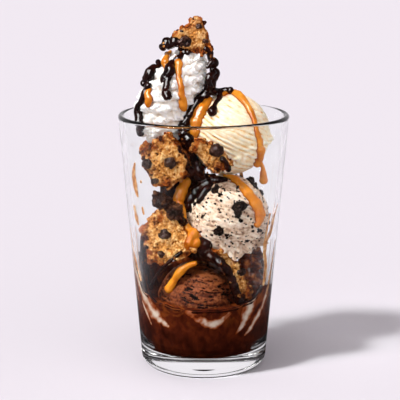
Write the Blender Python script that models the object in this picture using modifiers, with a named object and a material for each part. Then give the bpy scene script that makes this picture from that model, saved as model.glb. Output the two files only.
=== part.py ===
# Ice cream sundae in a straight conical glass tumbler.
# Metres, +Z up. The origin is the centre of the glass's foot, and -Y is the side the sundae is served from.
# From the bottom: a pool of fudge sauce with a chocolate scoop in it, a cookies-and-cream scoop,
# a vanilla scoop, a leaning swirl of whipped cream, and broken chocolate chip cookies all around them.

import math

import bpy
import bmesh
from mathutils import Euler, Matrix, Vector, noise

COLLECTION = "ice_cream_sundae"
CUTTER_COLLECTION = "cutters"

GAP = 0.0003             # clearance between touching pieces
TINY = 0.000001          # anything shorter counts as nothing
WELD = 0.00002           # points closer than this are one point
SMOOTH_ANGLE = 35        # degrees; sharper edges stay crisp
SEED_STEP = 7.3          # shift in the noise from one seed to the next

# Tumbler
GLASS_HEIGHT = 0.1364
RIM_RADIUS = 0.045
FOOT_RADIUS = 0.0331     # where the wall's line meets the table
WALL = 0.0029
FLOOR = 0.0117           # thick clear base
FOOT_ROUND = 0.0032
FLOOR_ROUND = 0.0025
GLASS_STEPS = 48
ARC_STEPS = 4            # segments of each rounded edge in the glass's profile

# Fudge sauce in the bottom of the glass
POOL_LEVEL = 0.039
POOL_STEPS = 36
POOL_SHELF = 0.0035      # sauce rises by this at 60 degrees either side of the front
POOL_HUMPS = (
    # angle from the front in degrees (left is minus), half width in degrees, height
    (-118, 52, 0.0260),
    (120, 50, 0.0205),
    (180, 90, 0.0120),
)
POOL_FLAT = 0.72         # share of the wall radius inside which the pool stays level
POOL_RINGS = (1.0, 0.93, 0.84, 0.73, 0.60, 0.3)   # rings of its top, as shares of the wall radius
POOL_WALL_RINGS = 4
POOL_RIPPLE = 0.0006
RIPPLE_SPACING = 0.007

# Scoops of ice cream. The pole is the way each ball was turned, and skirt_at is the height of its
# ragged skirt along that pole, from -1 to 1.
CHOCOLATE_SCOOP = {
    "centre": (-0.0025, -0.0045, 0.0357), "radius": 0.0222,
    "pole": (0.3, 0.2, 1.0), "skirt_at": -0.35, "seed": 11, "segments": 20,
}
CHOCOLATE_LOBE = {
    "centre": (0.0004, -0.0135, 0.0392), "radius": 0.0165,
    "pole": (0.0, -0.4, 1.0), "skirt_at": -0.90, "seed": 12, "segments": 18,
}
COOKIES_CREAM_SCOOP = {
    "centre": (0.0122, -0.0060, 0.0835), "radius": 0.0221,
    "pole": (-0.35, 0.1, 1.0), "skirt_at": -0.72, "seed": 21, "segments": 26,
}
VANILLA_SCOOP = {
    "centre": (0.0131, 0.0050, 0.1252), "radius": 0.0218,
    "pole": (-0.5, 0.1, 0.8), "skirt_at": -0.60, "seed": 31, "segments": 26,
}
SCOOP_ROUGH = 0.0003
SCOOP_GRAIN = 0.25       # spacing of that roughness, as a share of the radius
SKIRT = 0.0024           # ragged lip that the scoop's edge leaves
SKIRT_WIDTH = 0.16       # of the distance from pole to equator
SKIRT_MEAN = 0.6         # share of the lip that is always there
SKIRT_RAGGED = 0.9       # share of it that comes and goes
SKIRT_GRAIN = 0.31       # spacing of its ragged ends, as a share of the radius

# Whipped cream: a piped swirl that leans towards the vanilla scoop
CREAM_SEGMENTS = 28
CREAM_LAYERS = 20
CREAM_BOTTOM = 0.1180
CREAM_TOP = 0.1750
CREAM_Y = 0.0045
CREAM_TURNS = 4.5
CREAM_GROOVE = 0.16      # depth of the groove between turns, as a share of the radius
CREAM_SHARPNESS = 1.5    # how narrow that groove is
CREAM_RIBS = 9
CREAM_RIB_DEPTH = 0.035
CREAM_RIB_TWIST = 1.1    # turns that the ribs make on the way up
CREAM_STATIONS = (
    # height fraction, radius, centre x
    (0.00, 0.0000, -0.0215),
    (0.05, 0.0105, -0.0215),
    (0.20, 0.0140, -0.0215),
    (0.36, 0.0162, -0.0210),
    (0.56, 0.0180, -0.0175),
    (0.72, 0.0165, -0.0130),
    (0.86, 0.0118, -0.0095),
    (0.96, 0.0060, -0.0070),
    (1.00, 0.0000, -0.0065),
)

# Column of fudge that binds the stack
FUDGE_SEGMENTS = 14
FUDGE_LAYERS = 12
FUDGE_LUMPS = 0.22       # depth of its lumps, as a share of the radius
FUDGE_LUMP_HEIGHT = 0.009
FUDGE_STATIONS = (
    # height, half width, half depth, centre x, centre y
    (0.0560, 0.000, 0.000, -0.0060, 0.0080),
    (0.0600, 0.012, 0.012, -0.0060, 0.0080),
    (0.0750, 0.016, 0.014, -0.0100, 0.0080),
    (0.0900, 0.013, 0.012, -0.0110, 0.0070),
    (0.1050, 0.011, 0.012, -0.0100, 0.0060),
    (0.1200, 0.010, 0.012, -0.0080, 0.0050),
    (0.1350, 0.009, 0.010, -0.0060, 0.0045),
    (0.1460, 0.006, 0.007, -0.0030, 0.0040),
    (0.1490, 0.000, 0.000, -0.0020, 0.0040),
)

# Broken cookies. Each outline is the broken face, as x and z from the centre, going round clockwise.
# depth runs back from the face, taper is the size of the back, turn is in degrees about x, y and z.
COOKIES = {
    "cookie_top": {
        "centre": (-0.0052, -0.0045, 0.1762),
        "outline": ((-0.0106, 0.0016), (-0.0060, 0.0056), (-0.0010, 0.0074), (0.0018, 0.0122),
                    (0.0054, 0.0098), (0.0092, -0.0014), (0.0103, -0.0058), (0.0040, -0.0098),
                    (-0.0070, -0.0054)),
        "depth": 0.0130, "taper": 0.70, "turn": (0, 0, 12), "seed": 1,
    },
    "cookie_upper_left": {
        "centre": (-0.0196, -0.0190, 0.1145),
        "outline": ((0.0002, 0.0146), (-0.0050, 0.0098), (-0.0108, 0.0040), (-0.0118, -0.0040),
                    (-0.0062, -0.0125), (0.0018, -0.0146), (0.0100, -0.0078), (0.0120, 0.0012)),
        "depth": 0.0190, "taper": 0.86, "turn": (0, 0, -8), "seed": 2,
    },
    "cookie_centre": {
        "centre": (0.0040, -0.0250, 0.1186),
        "outline": ((-0.0104, 0.0040), (-0.0064, 0.0092), (-0.0010, 0.0070), (0.0052, 0.0024),
                    (0.0108, -0.0042), (0.0084, -0.0084), (0.0004, -0.0090), (-0.0050, -0.0024)),
        "depth": 0.0120, "taper": 0.80, "turn": (0, 0, 6), "seed": 3,
    },
    "cookie_lower_left": {
        "centre": (-0.0183, -0.0205, 0.0750),
        "outline": ((-0.0068, 0.0136), (-0.0024, 0.0162), (0.0056, 0.0076), (0.0148, -0.0066),
                    (0.0090, -0.0108), (-0.0040, -0.0162), (-0.0104, -0.0144), (-0.0146, 0.0030)),
        "depth": 0.0190, "taper": 0.86, "turn": (0, 0, -14), "seed": 4,
    },
    "cookie_lower_right": {
        "centre": (0.0146, -0.0225, 0.0542),
        "outline": ((-0.0124, 0.0138), (-0.0062, 0.0166), (0.0034, 0.0066), (0.0108, -0.0080),
                    (0.0098, -0.0146), (0.0050, -0.0118), (-0.0020, 0.0004)),
        "depth": 0.0160, "taper": 0.92, "turn": (0, 0, 10), "seed": 5,
    },
    "cookie_under_cream": {
        "centre": (-0.0195, -0.0010, 0.1130),
        "outline": ((-0.0145, 0.0050), (-0.0090, 0.0075), (0.0070, 0.0070), (0.0120, 0.0000),
                    (0.0080, -0.0075), (-0.0060, -0.0080), (-0.0135, -0.0035)),
        "depth": 0.0200, "taper": 0.90, "turn": (0, 0, 0), "seed": 6,
    },
}
COOKIE_EDGE = 0.0014     # rounding of the broken edges
COOKIE_ROUGH = 0.0010    # unevenness of the crumb
COOKIE_GRAIN = 0.0060    # spacing of that unevenness
COOKIE_SPLIT = 0.0095    # edges longer than this are split before they are roughened

# Dark brownie crumbs wedged between the two left-hand cookies
BROWNIE_ROUGH = 0.0022
BROWNIE_GRAIN = 0.0045
BROWNIES = {
    "brownie_upper": {"centre": (-0.0215, -0.0170, 0.0930), "size": (0.0115, 0.0120, 0.0100),
                      "turn": (0, 35, 10), "seed": 7},
    "brownie_lower": {"centre": (-0.0158, -0.0185, 0.0882), "size": (0.0110, 0.0110, 0.0100),
                      "turn": (20, -25, 0), "seed": 8},
}


# ---------------------------------------------------------------- scene and materials

def clear_scene():
    for item in list(bpy.data.objects):
        bpy.data.objects.remove(item, do_unlink=True)


def new_collection(name):
    collection = bpy.data.collections.new(name)
    bpy.context.scene.collection.children.link(collection)
    return collection


def new_material(name, colour, roughness, transmission=0.0, ior=1.45):
    material = bpy.data.materials.new(name)
    material.use_nodes = True
    shader = material.node_tree.nodes["Principled BSDF"]
    shader.inputs["Base Color"].default_value = (*colour, 1.0)
    shader.inputs["Roughness"].default_value = roughness
    shader.inputs["Metallic"].default_value = 0.0
    shader.inputs["Transmission Weight"].default_value = transmission
    shader.inputs["IOR"].default_value = ior
    return material


# ---------------------------------------------------------------- mesh helpers

def move_to(item, collection):
    for owner in list(item.users_collection):
        owner.objects.unlink(item)
    collection.objects.link(item)


def finish_mesh(item, name, material, collection):
    item.name = name
    item.data.name = name
    item.data.materials.clear()
    item.data.materials.append(material)
    item.data.shade_smooth()
    item.data.set_sharp_from_angle(angle=math.radians(SMOOTH_ANGLE))
    move_to(item, collection)


def settle(item):
    """Replace the object's mesh with the one its modifiers give, in world space."""
    graph = bpy.context.evaluated_depsgraph_get()
    mesh = bpy.data.meshes.new_from_object(item.evaluated_get(graph))
    mesh.transform(item.matrix_world)
    item.modifiers.clear()
    item.data = mesh
    item.matrix_world = Matrix.Identity(4)


def make_sphere(segments, rings):
    bpy.ops.mesh.primitive_uv_sphere_add(segments=segments, ring_count=rings, radius=1.0)
    return bpy.context.active_object


def grown_copy(item, gap, collection):
    """A cutter: the piece with its surface pushed out by the gap."""
    copy = item.copy()
    copy.data = item.data.copy()
    copy.name = item.name + "_cutter"
    mesh = bmesh.new()
    mesh.from_mesh(copy.data)
    mesh.normal_update()
    pushed = [vert.co + vert.normal * gap * vert.calc_shell_factor() for vert in mesh.verts]
    for vert, place in zip(mesh.verts, pushed):
        vert.co = place
    mesh.to_mesh(copy.data)
    mesh.free()
    copy.hide_render = True
    copy.display_type = "WIRE"
    collection.objects.link(copy)
    return copy


def combine(item, others, operation):
    for other in others:
        boolean = item.modifiers.new(operation.lower(), "BOOLEAN")
        boolean.operation = operation
        boolean.solver = "EXACT"
        boolean.object = other
    bpy.context.view_layer.update()
    settle(item)
    keep_largest_body(item)


def keep_largest_body(item):
    """Drop crumbs that a cut leaves loose, and slivers along its edge."""
    mesh = bmesh.new()
    mesh.from_mesh(item.data)
    bmesh.ops.remove_doubles(mesh, verts=mesh.verts, dist=WELD)
    bmesh.ops.dissolve_degenerate(mesh, edges=mesh.edges, dist=WELD)
    bmesh.ops.triangulate(mesh, faces=mesh.faces)
    unseen = set(mesh.verts)
    bodies = []
    while unseen:
        stack = [unseen.pop()]
        body = set(stack)
        while stack:
            for edge in stack.pop().link_edges:
                for vert in edge.verts:
                    if vert in unseen:
                        unseen.remove(vert)
                        body.add(vert)
                        stack.append(vert)
        bodies.append(body)
    bodies.sort(key=len)
    for body in bodies[:-1]:
        bmesh.ops.delete(mesh, geom=list(body), context="VERTS")
    mesh.to_mesh(item.data)
    mesh.free()


def station_values(stations, key):
    """Read a table of stations at one height, in a straight line between its rows."""
    for lower, upper in zip(stations, stations[1:]):
        if key <= upper[0]:
            share = (key - lower[0]) / (upper[0] - lower[0])
            return [a + (b - a) * share for a, b in zip(lower[1:], upper[1:])]
    return list(stations[-1][1:])


def smooth_step(low, high, value):
    share = min(max((value - low) / (high - low), 0.0), 1.0)
    return share * share * (3 - 2 * share)


def bump(angle, centre, width):
    """A smooth hump over an angle in degrees, zero beyond its width on either side."""
    apart = abs((angle - centre + 180) % 360 - 180)
    return 1 - smooth_step(0, width, apart)


# ---------------------------------------------------------------- glass

def outer_radius(height):
    return FOOT_RADIUS + (RIM_RADIUS - FOOT_RADIUS) * height / GLASS_HEIGHT


def inner_radius(height):
    return outer_radius(height) - WALL


def arc(centre, radius, start, end):
    """Points round a profile's edge, angles in degrees from +X."""
    points = []
    for step in range(ARC_STEPS + 1):
        angle = math.radians(start + (end - start) * step / ARC_STEPS)
        points.append((centre[0] + radius * math.cos(angle), centre[1] + radius * math.sin(angle)))
    return points


def turned(name, profile, steps):
    """Turn a profile of radius and height pairs, outer side first from the top down."""
    mesh = bpy.data.meshes.new(name)
    mesh.from_pydata([(radius, 0, height) for radius, height in profile],
                     [(i, i + 1) for i in range(len(profile) - 1)], [])
    item = bpy.data.objects.new(name, mesh)
    bpy.context.scene.collection.objects.link(item)
    screw = item.modifiers.new("turn", "SCREW")
    screw.steps = steps
    screw.render_steps = steps
    screw.use_merge_vertices = True
    screw.merge_threshold = WELD
    return item


def make_glass():
    bead = WALL / 2
    floor = arc((inner_radius(FLOOR) - FLOOR_ROUND, FLOOR + FLOOR_ROUND), FLOOR_ROUND, -90, 0)
    rim = arc((RIM_RADIUS - bead, GLASS_HEIGHT - bead), bead, 180, 0)
    foot = arc((outer_radius(FOOT_ROUND) - FOOT_ROUND, FOOT_ROUND), FOOT_ROUND, 0, -90)
    glass = turned("glass", [(0.0, FLOOR)] + floor + rim + foot + [(0.0, 0.0)], GLASS_STEPS)
    settle(glass)
    return glass


# ---------------------------------------------------------------- fudge pool

def pool_climb(angle):
    """How far the sauce has been dragged up the wall. Angle in degrees from the front, left is minus."""
    shelf = POOL_SHELF * smooth_step(15, 60, abs(angle))
    return shelf + max(height * bump(angle, centre, width) for centre, width, height in POOL_HUMPS)


def make_pool():
    bottom = FLOOR + GAP
    corner_height = bottom + FLOOR_ROUND
    profile = [(0.0, POOL_LEVEL)]
    profile += [(share * inner_radius(POOL_LEVEL), POOL_LEVEL) for share in reversed(POOL_RINGS)]
    for step in range(POOL_WALL_RINGS - 1, -1, -1):
        height = corner_height + (POOL_LEVEL - corner_height) * step / POOL_WALL_RINGS
        profile.append((inner_radius(height) - GAP, height))
    profile += [(inner_radius(bottom) - FLOOR_ROUND - GAP, bottom), (0.0, bottom)]
    pool = turned("fudge_pool", profile, POOL_STEPS)
    settle(pool)
    for vert in pool.data.vertices:
        if vert.co.z > bottom + TINY:
            lift_sauce(vert, bottom)
    return pool


def lift_sauce(vert, bottom):
    """Raise the pool's top, and stretch its side, to the sauce's height at this angle."""
    x, y, z = vert.co
    radius = math.hypot(x, y)
    climb = pool_climb(math.degrees(math.atan2(x, -y)))
    if z > POOL_LEVEL - TINY:
        share = radius / inner_radius(POOL_LEVEL)
        ripple = POOL_RIPPLE * noise.noise(Vector((x, y, 0)) / RIPPLE_SPACING)
        z = POOL_LEVEL + climb * smooth_step(POOL_FLAT, 1.0, share) + ripple
    else:
        share = 1.0
        z = bottom + (z - bottom) * (1 + climb / (POOL_LEVEL - bottom))
    if radius > TINY:
        spread = share * (inner_radius(z) - GAP) / radius
        vert.co = (x * spread, y * spread, z)
    else:
        vert.co.z = z


# ---------------------------------------------------------------- ice cream and whipped cream

def make_scoop(name, centre, radius, pole, skirt_at, seed, segments):
    """A ball with a ragged skirt round it."""
    scoop = make_sphere(segments, segments // 2 + 2)
    scoop.name = name
    spin = Vector((0, 0, 1)).rotation_difference(Vector(pole).normalized()).to_matrix()
    for vert in scoop.data.vertices:
        along = vert.co.z
        ragged = SKIRT_MEAN + SKIRT_RAGGED * noise.noise(vert.co / SKIRT_GRAIN + Vector((seed, 0, 0)))
        skirt = SKIRT * ragged * math.exp(-((along - skirt_at) / SKIRT_WIDTH) ** 2)
        rough = SCOOP_ROUGH * noise.noise(vert.co / SCOOP_GRAIN + Vector((0, seed, 0)))
        vert.co = spin @ vert.co * (radius + skirt + rough) + Vector(centre)
    return scoop


def make_cream():
    """A piped swirl: one groove winds up it, and the nozzle's ribs run along the winding."""
    cream = make_sphere(CREAM_SEGMENTS, CREAM_LAYERS)
    cream.name = "whipped_cream"
    for vert in cream.data.vertices:
        share = 1 - math.acos(min(max(vert.co.z, -1.0), 1.0)) / math.pi
        angle = math.atan2(vert.co.y, vert.co.x)
        radius, centre_x = station_values(CREAM_STATIONS, share)
        turn = (share * CREAM_TURNS + angle / math.tau) % 1.0
        radius *= 1 - CREAM_GROOVE * (1 - math.sin(math.pi * turn)) ** CREAM_SHARPNESS
        radius *= 1 + CREAM_RIB_DEPTH * math.sin(CREAM_RIBS * (angle + CREAM_RIB_TWIST * share * math.tau))
        height = CREAM_BOTTOM + (CREAM_TOP - CREAM_BOTTOM) * share
        vert.co = (centre_x + radius * math.cos(angle), CREAM_Y + radius * math.sin(angle), height)
    return cream


# ---------------------------------------------------------------- cookies, brownies and fudge

def roughen(item, strength, grain, seed):
    item.data.update()
    normals = [vert.normal.copy() for vert in item.data.vertices]
    for vert, normal in zip(item.data.vertices, normals):
        vert.co += normal * strength * noise.noise(vert.co / grain + Vector((seed * SEED_STEP, 0, 0)))


def split_long_edges(item, longest):
    mesh = bmesh.new()
    mesh.from_mesh(item.data)
    bmesh.ops.remove_doubles(mesh, verts=mesh.verts, dist=WELD)
    bmesh.ops.triangulate(mesh, faces=mesh.faces)
    long_edges = [edge for edge in mesh.edges if edge.calc_length() > longest]
    bmesh.ops.subdivide_edges(mesh, edges=long_edges, cuts=1)
    bmesh.ops.triangulate(mesh, faces=mesh.faces)
    mesh.to_mesh(item.data)
    mesh.free()


def make_cookie(name, centre, outline, depth, taper, turn, seed):
    """The outline as a slab, smaller at the back, with its edges rounded and its faces uneven."""
    curve = bpy.data.curves.new(name, "CURVE")
    curve.dimensions = "2D"
    curve.fill_mode = "BOTH"
    curve.extrude = depth / 2
    spline = curve.splines.new("POLY")
    spline.points.add(len(outline) - 1)
    for point, (x, z) in zip(spline.points, outline):
        point.co = (x, z, 0, 1)
    spline.use_cyclic_u = True
    flat = bpy.data.objects.new(name + "_outline", curve)
    bpy.context.scene.collection.objects.link(flat)
    bpy.context.view_layer.update()
    graph = bpy.context.evaluated_depsgraph_get()
    cookie = bpy.data.objects.new(name, bpy.data.meshes.new_from_object(flat.evaluated_get(graph)))
    bpy.context.scene.collection.objects.link(cookie)
    bpy.data.objects.remove(flat, do_unlink=True)
    split_long_edges(cookie, depth * 2)
    for vert in cookie.data.vertices:
        if vert.co.z < 0:
            vert.co.x *= taper
            vert.co.y *= taper
    bevel = cookie.modifiers.new("broken edge", "BEVEL")
    bevel.width = COOKIE_EDGE
    bevel.segments = 1
    bevel.limit_method = "ANGLE"
    settle(cookie)
    split_long_edges(cookie, COOKIE_SPLIT)
    upright = Matrix.Rotation(math.radians(90), 4, "X")
    tilt = Euler([math.radians(angle) for angle in turn]).to_matrix().to_4x4()
    face_forward = Matrix.Translation((0, depth / 2, 0))
    cookie.data.transform(Matrix.Translation(centre) @ tilt @ face_forward @ upright)
    roughen(cookie, COOKIE_ROUGH, COOKIE_GRAIN, seed)
    return cookie


def make_brownie(name, centre, size, turn, seed):
    bpy.ops.mesh.primitive_cube_add(size=1.0)
    brownie = bpy.context.active_object
    brownie.name = name
    tilt = Euler([math.radians(angle) for angle in turn]).to_matrix().to_4x4()
    brownie.data.transform(Matrix.Translation(centre) @ tilt @ Matrix.Diagonal((*size, 1.0)))
    soften = brownie.modifiers.new("crumb", "SUBSURF")
    soften.levels = 2
    soften.render_levels = 2
    settle(brownie)
    roughen(brownie, BROWNIE_ROUGH, BROWNIE_GRAIN, seed)
    return brownie


def make_fudge_column():
    column = make_sphere(FUDGE_SEGMENTS, FUDGE_LAYERS)
    column.name = "fudge_column"
    low, high = FUDGE_STATIONS[0][0], FUDGE_STATIONS[-1][0]
    for vert in column.data.vertices:
        share = 1 - math.acos(min(max(vert.co.z, -1.0), 1.0)) / math.pi
        height = low + (high - low) * share
        angle = math.atan2(vert.co.y, vert.co.x)
        width, deep, centre_x, centre_y = station_values(FUDGE_STATIONS, height)
        around = Vector((math.cos(angle), math.sin(angle), height / FUDGE_LUMP_HEIGHT))
        lump = 1 + FUDGE_LUMPS * noise.noise(around)
        vert.co = (centre_x + width * lump * around.x, centre_y + deep * lump * around.y, height)
    return column


# ---------------------------------------------------------------- the sundae

def boxes_meet(first, second):
    """Whether the boxes round two pieces come within the gap of each other."""
    for axis in range(3):
        one = [vert.co[axis] for vert in first.data.vertices]
        two = [vert.co[axis] for vert in second.data.vertices]
        if min(one) > max(two) + GAP or min(two) > max(one) + GAP:
            return False
    return True


def build():
    clear_scene()
    parts = new_collection(COLLECTION)
    cutters = new_collection(CUTTER_COLLECTION)
    food = []

    glass_clear = new_material("clear_glass", (0.95, 0.96, 0.95), 0.02, transmission=1.0, ior=1.52)
    fudge_sauce = new_material("fudge_sauce", (0.045, 0.014, 0.008), 0.18)
    chocolate = new_material("chocolate_ice_cream", (0.20, 0.085, 0.055), 0.55)
    speckled = new_material("cookies_and_cream_ice_cream", (0.76, 0.64, 0.54), 0.55)
    vanilla = new_material("vanilla_ice_cream", (0.88, 0.74, 0.50), 0.55)
    dairy = new_material("whipped_cream", (0.90, 0.87, 0.82), 0.5)
    baked = new_material("chocolate_chip_cookie", (0.60, 0.35, 0.14), 0.8)
    dark_crumb = new_material("brownie", (0.035, 0.016, 0.011), 0.75)

    def place(item, material):
        """Cut a piece of food back to a gap from the food already there, and keep it."""
        near = [other for other in food if boxes_meet(item, other)]
        combine(item, [grown_copy(other, GAP, cutters) for other in near], "DIFFERENCE")
        finish_mesh(item, item.name, material, parts)
        food.append(item)

    glass = make_glass()
    finish_mesh(glass, "glass", glass_clear, parts)

    scoop = make_scoop("chocolate_scoop", **CHOCOLATE_SCOOP)
    lobe = make_scoop("chocolate_lobe", **CHOCOLATE_LOBE)
    combine(scoop, [lobe], "UNION")
    bpy.data.objects.remove(lobe, do_unlink=True)
    place(scoop, chocolate)
    place(make_scoop("cookies_cream_scoop", **COOKIES_CREAM_SCOOP), speckled)
    place(make_scoop("vanilla_scoop", **VANILLA_SCOOP), vanilla)
    for name, values in COOKIES.items():
        place(make_cookie(name, **values), baked)
    for name, values in BROWNIES.items():
        place(make_brownie(name, **values), dark_crumb)
    place(make_cream(), dairy)
    place(make_fudge_column(), fudge_sauce)
    place(make_pool(), fudge_sauce)


build()
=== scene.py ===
import math
import random

import bpy
import bmesh
from mathutils import Euler, Matrix, Vector, noise
from mathutils.bvhtree import BVHTree


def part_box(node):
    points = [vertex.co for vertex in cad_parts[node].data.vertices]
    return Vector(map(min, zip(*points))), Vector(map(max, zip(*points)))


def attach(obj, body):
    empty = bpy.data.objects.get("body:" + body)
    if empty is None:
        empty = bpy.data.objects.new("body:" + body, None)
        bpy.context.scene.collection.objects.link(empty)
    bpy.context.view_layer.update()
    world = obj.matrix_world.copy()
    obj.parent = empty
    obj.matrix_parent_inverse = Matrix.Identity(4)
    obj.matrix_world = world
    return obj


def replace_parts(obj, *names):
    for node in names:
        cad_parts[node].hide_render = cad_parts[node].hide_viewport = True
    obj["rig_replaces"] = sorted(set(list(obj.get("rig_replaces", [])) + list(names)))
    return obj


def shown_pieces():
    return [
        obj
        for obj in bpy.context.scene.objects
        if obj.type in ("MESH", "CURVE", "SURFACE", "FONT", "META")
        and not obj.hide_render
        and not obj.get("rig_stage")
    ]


# Ice cream sundae in a conical tumbler: sauce, three scoops, whipped cream and broken cookies.
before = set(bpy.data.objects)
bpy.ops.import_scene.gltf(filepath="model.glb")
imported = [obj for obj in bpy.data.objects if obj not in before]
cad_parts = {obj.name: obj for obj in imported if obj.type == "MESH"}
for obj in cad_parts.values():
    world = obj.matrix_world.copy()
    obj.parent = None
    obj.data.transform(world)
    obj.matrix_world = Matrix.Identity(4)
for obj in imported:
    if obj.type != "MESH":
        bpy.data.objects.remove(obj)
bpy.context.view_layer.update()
mm = 0.001
scene = bpy.context.scene
scene.view_settings.view_transform = "Standard"
random.seed(20)


def hexToLinear(text):
    values = [int(text[i:i + 2], 16) / 255 for i in (0, 2, 4)]
    return [v / 12.92 if v < 0.04045 else ((v + 0.055) / 1.055) ** 2.4 for v in values] + [1.0]


def addNode(tree, kind, links=None, stops=None, **settings):
    node = tree.nodes.new("ShaderNode" + kind)
    for name, value in settings.items():
        setattr(node, name, value)
    if stops:  # a colour ramp's places and hex colours
        elements = node.color_ramp.elements
        while len(elements) < len(stops):
            elements.new(1.0)
        for element, (place, colour) in zip(elements, stops):
            element.position = place
            element.color = hexToLinear(colour)
    for socket, value in (links or {}).items():
        if isinstance(value, bpy.types.NodeSocket):
            tree.links.new(value, node.inputs[socket])
        else:
            node.inputs[socket].default_value = value
    return node


def newMaterial(name):
    material = bpy.data.materials.new(name)
    material.use_nodes = True
    material.node_tree.nodes.clear()
    return material, material.node_tree


def pickOnly(*items):
    bpy.ops.object.select_all(action="DESELECT")
    for item in items:
        item.select_set(True)
    bpy.context.view_layer.objects.active = items[0]


def modify(item, kind, **settings):  # adds a modifier and applies it
    pickOnly(item)
    modifier = item.modifiers.new(kind.lower(), kind)
    for name, value in settings.items():
        setattr(modifier, name, value)
    bpy.ops.object.modifier_apply(modifier=modifier.name)


def joinAll(items, name):
    pickOnly(*items)
    if len(items) > 1:
        bpy.ops.object.join()
    joined = bpy.context.view_layer.objects.active
    joined.name = joined.data.name = name
    return joined


def mergedCopy(node, name):  # a CAD node's loose triangles, welded into one skin
    item = bpy.data.objects.new(name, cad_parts[node].data.copy())
    scene.collection.objects.link(item)
    item.data.materials.clear()
    pickOnly(item)
    bpy.ops.object.mode_set(mode="EDIT")
    bpy.ops.mesh.select_all(action="SELECT")
    bpy.ops.mesh.remove_doubles(threshold=0.02 * mm)
    bpy.ops.object.mode_set(mode="OBJECT")
    return item


def addBall(place, radius, detail=4, squash=(1, 1, 1), turn=(0, 0, 0)):
    bpy.ops.object.select_all(action="DESELECT")
    bpy.ops.mesh.primitive_ico_sphere_add(subdivisions=detail, radius=radius)
    ball = bpy.context.view_layer.objects.active
    spin = Euler([math.radians(a) for a in turn]).to_matrix().to_4x4()
    ball.data.transform(Matrix.Translation(place) @ spin @ Matrix.Diagonal((*squash, 1)))
    return ball


def remesh(item, voxel, smooth=0):  # one closed skin over everything joined in the piece
    modify(item, "REMESH", mode="VOXEL", voxel_size=voxel * mm)
    if smooth:
        modify(item, "SMOOTH", factor=0.5, iterations=smooth)


def grain(place, size, seed=0.0):  # noise of about -1 to 1 with lumps of that size in mm
    return noise.noise(place / (size * mm) + Vector((seed * 7.3, seed * 3.1, seed)))


def ease(low, high, value):
    share = min(max((value - low) / (high - low), 0.0), 1.0)
    return share * share * (3 - 2 * share)


def sculpt(item, shift, marks=()):
    # moves each point along its normal by the millimetres that shift gives, and keeps its marks
    mesh = item.data
    layers = [mesh.attributes.new(mark, "FLOAT", "POINT") for mark in marks]
    starts = [(vert.co.copy(), vert.normal.copy()) for vert in mesh.vertices]
    for vert, (place, normal) in zip(mesh.vertices, starts):
        values = shift(place, normal)
        if marks:
            for layer, value in zip(layers, values[1:]):
                layer.data[vert.index].value = value
            values = values[0]
        vert.co = place + normal * values * mm
    mesh.update()


def finishPiece(item, material, slot, *nodes):
    item.data.materials.clear()
    item.data.materials.append(material)
    item.data.shade_smooth()
    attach(item, "root")
    if nodes:
        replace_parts(item, *nodes)
    return item


# Camera and light
camera = {"place": (0, -0.6896, 0.2409), "pitch": 77.64, "lens": 119.31, "shift": -0.00925}
light = {"sunAngle": 6, "sun": 3.1, "sunAim": (0.50, 0.335, -0.735), "floor": "dbd5dc", "sky": "f8f4f6",
         "ambient": 0.34, "fillAim": (0.45, -0.88, 0.12), "fill": 0.8, "softBox": (-0.35, -0.75, 0.60),
         "softBoxPower": 80.0, "lowBox": (-0.45, -0.88, 0.12),
         "lowBoxPower": 55.0, "darkReflection": "3e3c3e"}

cameraData = bpy.data.cameras.new("camera")
cameraData.lens = camera["lens"]
cameraData.shift_x = camera["shift"]
cameraItem = bpy.data.objects.new("camera", cameraData)
cameraItem.location = camera["place"]
cameraItem.rotation_euler = (math.radians(camera["pitch"]), 0, 0)
scene.collection.objects.link(cameraItem)
scene.camera = cameraItem



def inOpenAir(tree, path):  # 1 where light was mirrored without passing through the glass
    mirrored = addNode(tree, "Math", {0: path.outputs["Glossy Depth"], 1: 1.0}, operation="MINIMUM")
    outside = addNode(tree, "Math", {0: path.outputs["Transmission Depth"], 1: 0.0, 2: 0.5}, operation="COMPARE")
    return addNode(tree, "Math", {0: mirrored.outputs[0], 1: outside.outputs[0]}, operation="MULTIPLY").outputs[0]


bpy.ops.object.select_all(action="DESELECT")
bpy.ops.mesh.primitive_plane_add(size=8)
floor = bpy.context.view_layer.objects.active
floor.name = "floor"
paper, tree = newMaterial("matt studio paper")  # its sides mirror a dark floor: far mirrored rays see it dark, a painted dark reflection
path = addNode(tree, "LightPath")
near = addNode(tree, "MapRange", {"Value": path.outputs["Ray Length"], "From Min": 0.08, "From Max": 0.26,
                                  "To Min": 1.0, "To Max": 0.22})
mirrored = addNode(tree, "Math", {0: path.outputs["Glossy Depth"], 1: near.outputs["Result"]}, operation="MINIMUM")
# painted reflection: the floor shows the dark colour to far mirrored rays only
dim = addNode(tree, "Mix", {0: mirrored.outputs[0], 6: hexToLinear(light["floor"]),
                            7: hexToLinear(light["darkReflection"])}, data_type="RGBA")
shader = addNode(tree, "BsdfDiffuse", {"Color": dim.outputs[2]})
addNode(tree, "OutputMaterial", {"Surface": shader.outputs[0]})
floor.data.materials.append(paper)
floor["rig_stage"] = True

sunData = bpy.data.lights.new("sun", "SUN")
sunData.energy = light["sun"]
sunData.angle = math.radians(light["sunAngle"])
sunItem = bpy.data.objects.new("sun", sunData)
sunItem.rotation_euler = Vector(light["sunAim"]).to_track_quat("-Z", "Y").to_euler()
scene.collection.objects.link(sunItem)

world = bpy.data.worlds.new("studio")
scene.world = world
world.use_nodes = True
tree = world.node_tree
tree.nodes.clear()
direction = addNode(tree, "TexCoord")
path = addNode(tree, "LightPath")


def towards(aim, low, high, power):  # power in the direction of aim, falling to 0 away from it
    along = addNode(tree, "VectorMath", {0: direction.outputs["Generated"], 1: Vector(aim).normalized()},
                    operation="DOT_PRODUCT")
    return addNode(tree, "MapRange", {"Value": along.outputs["Value"], "From Min": low, "From Max": high,
                                      "To Max": power}).outputs["Result"]


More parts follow.
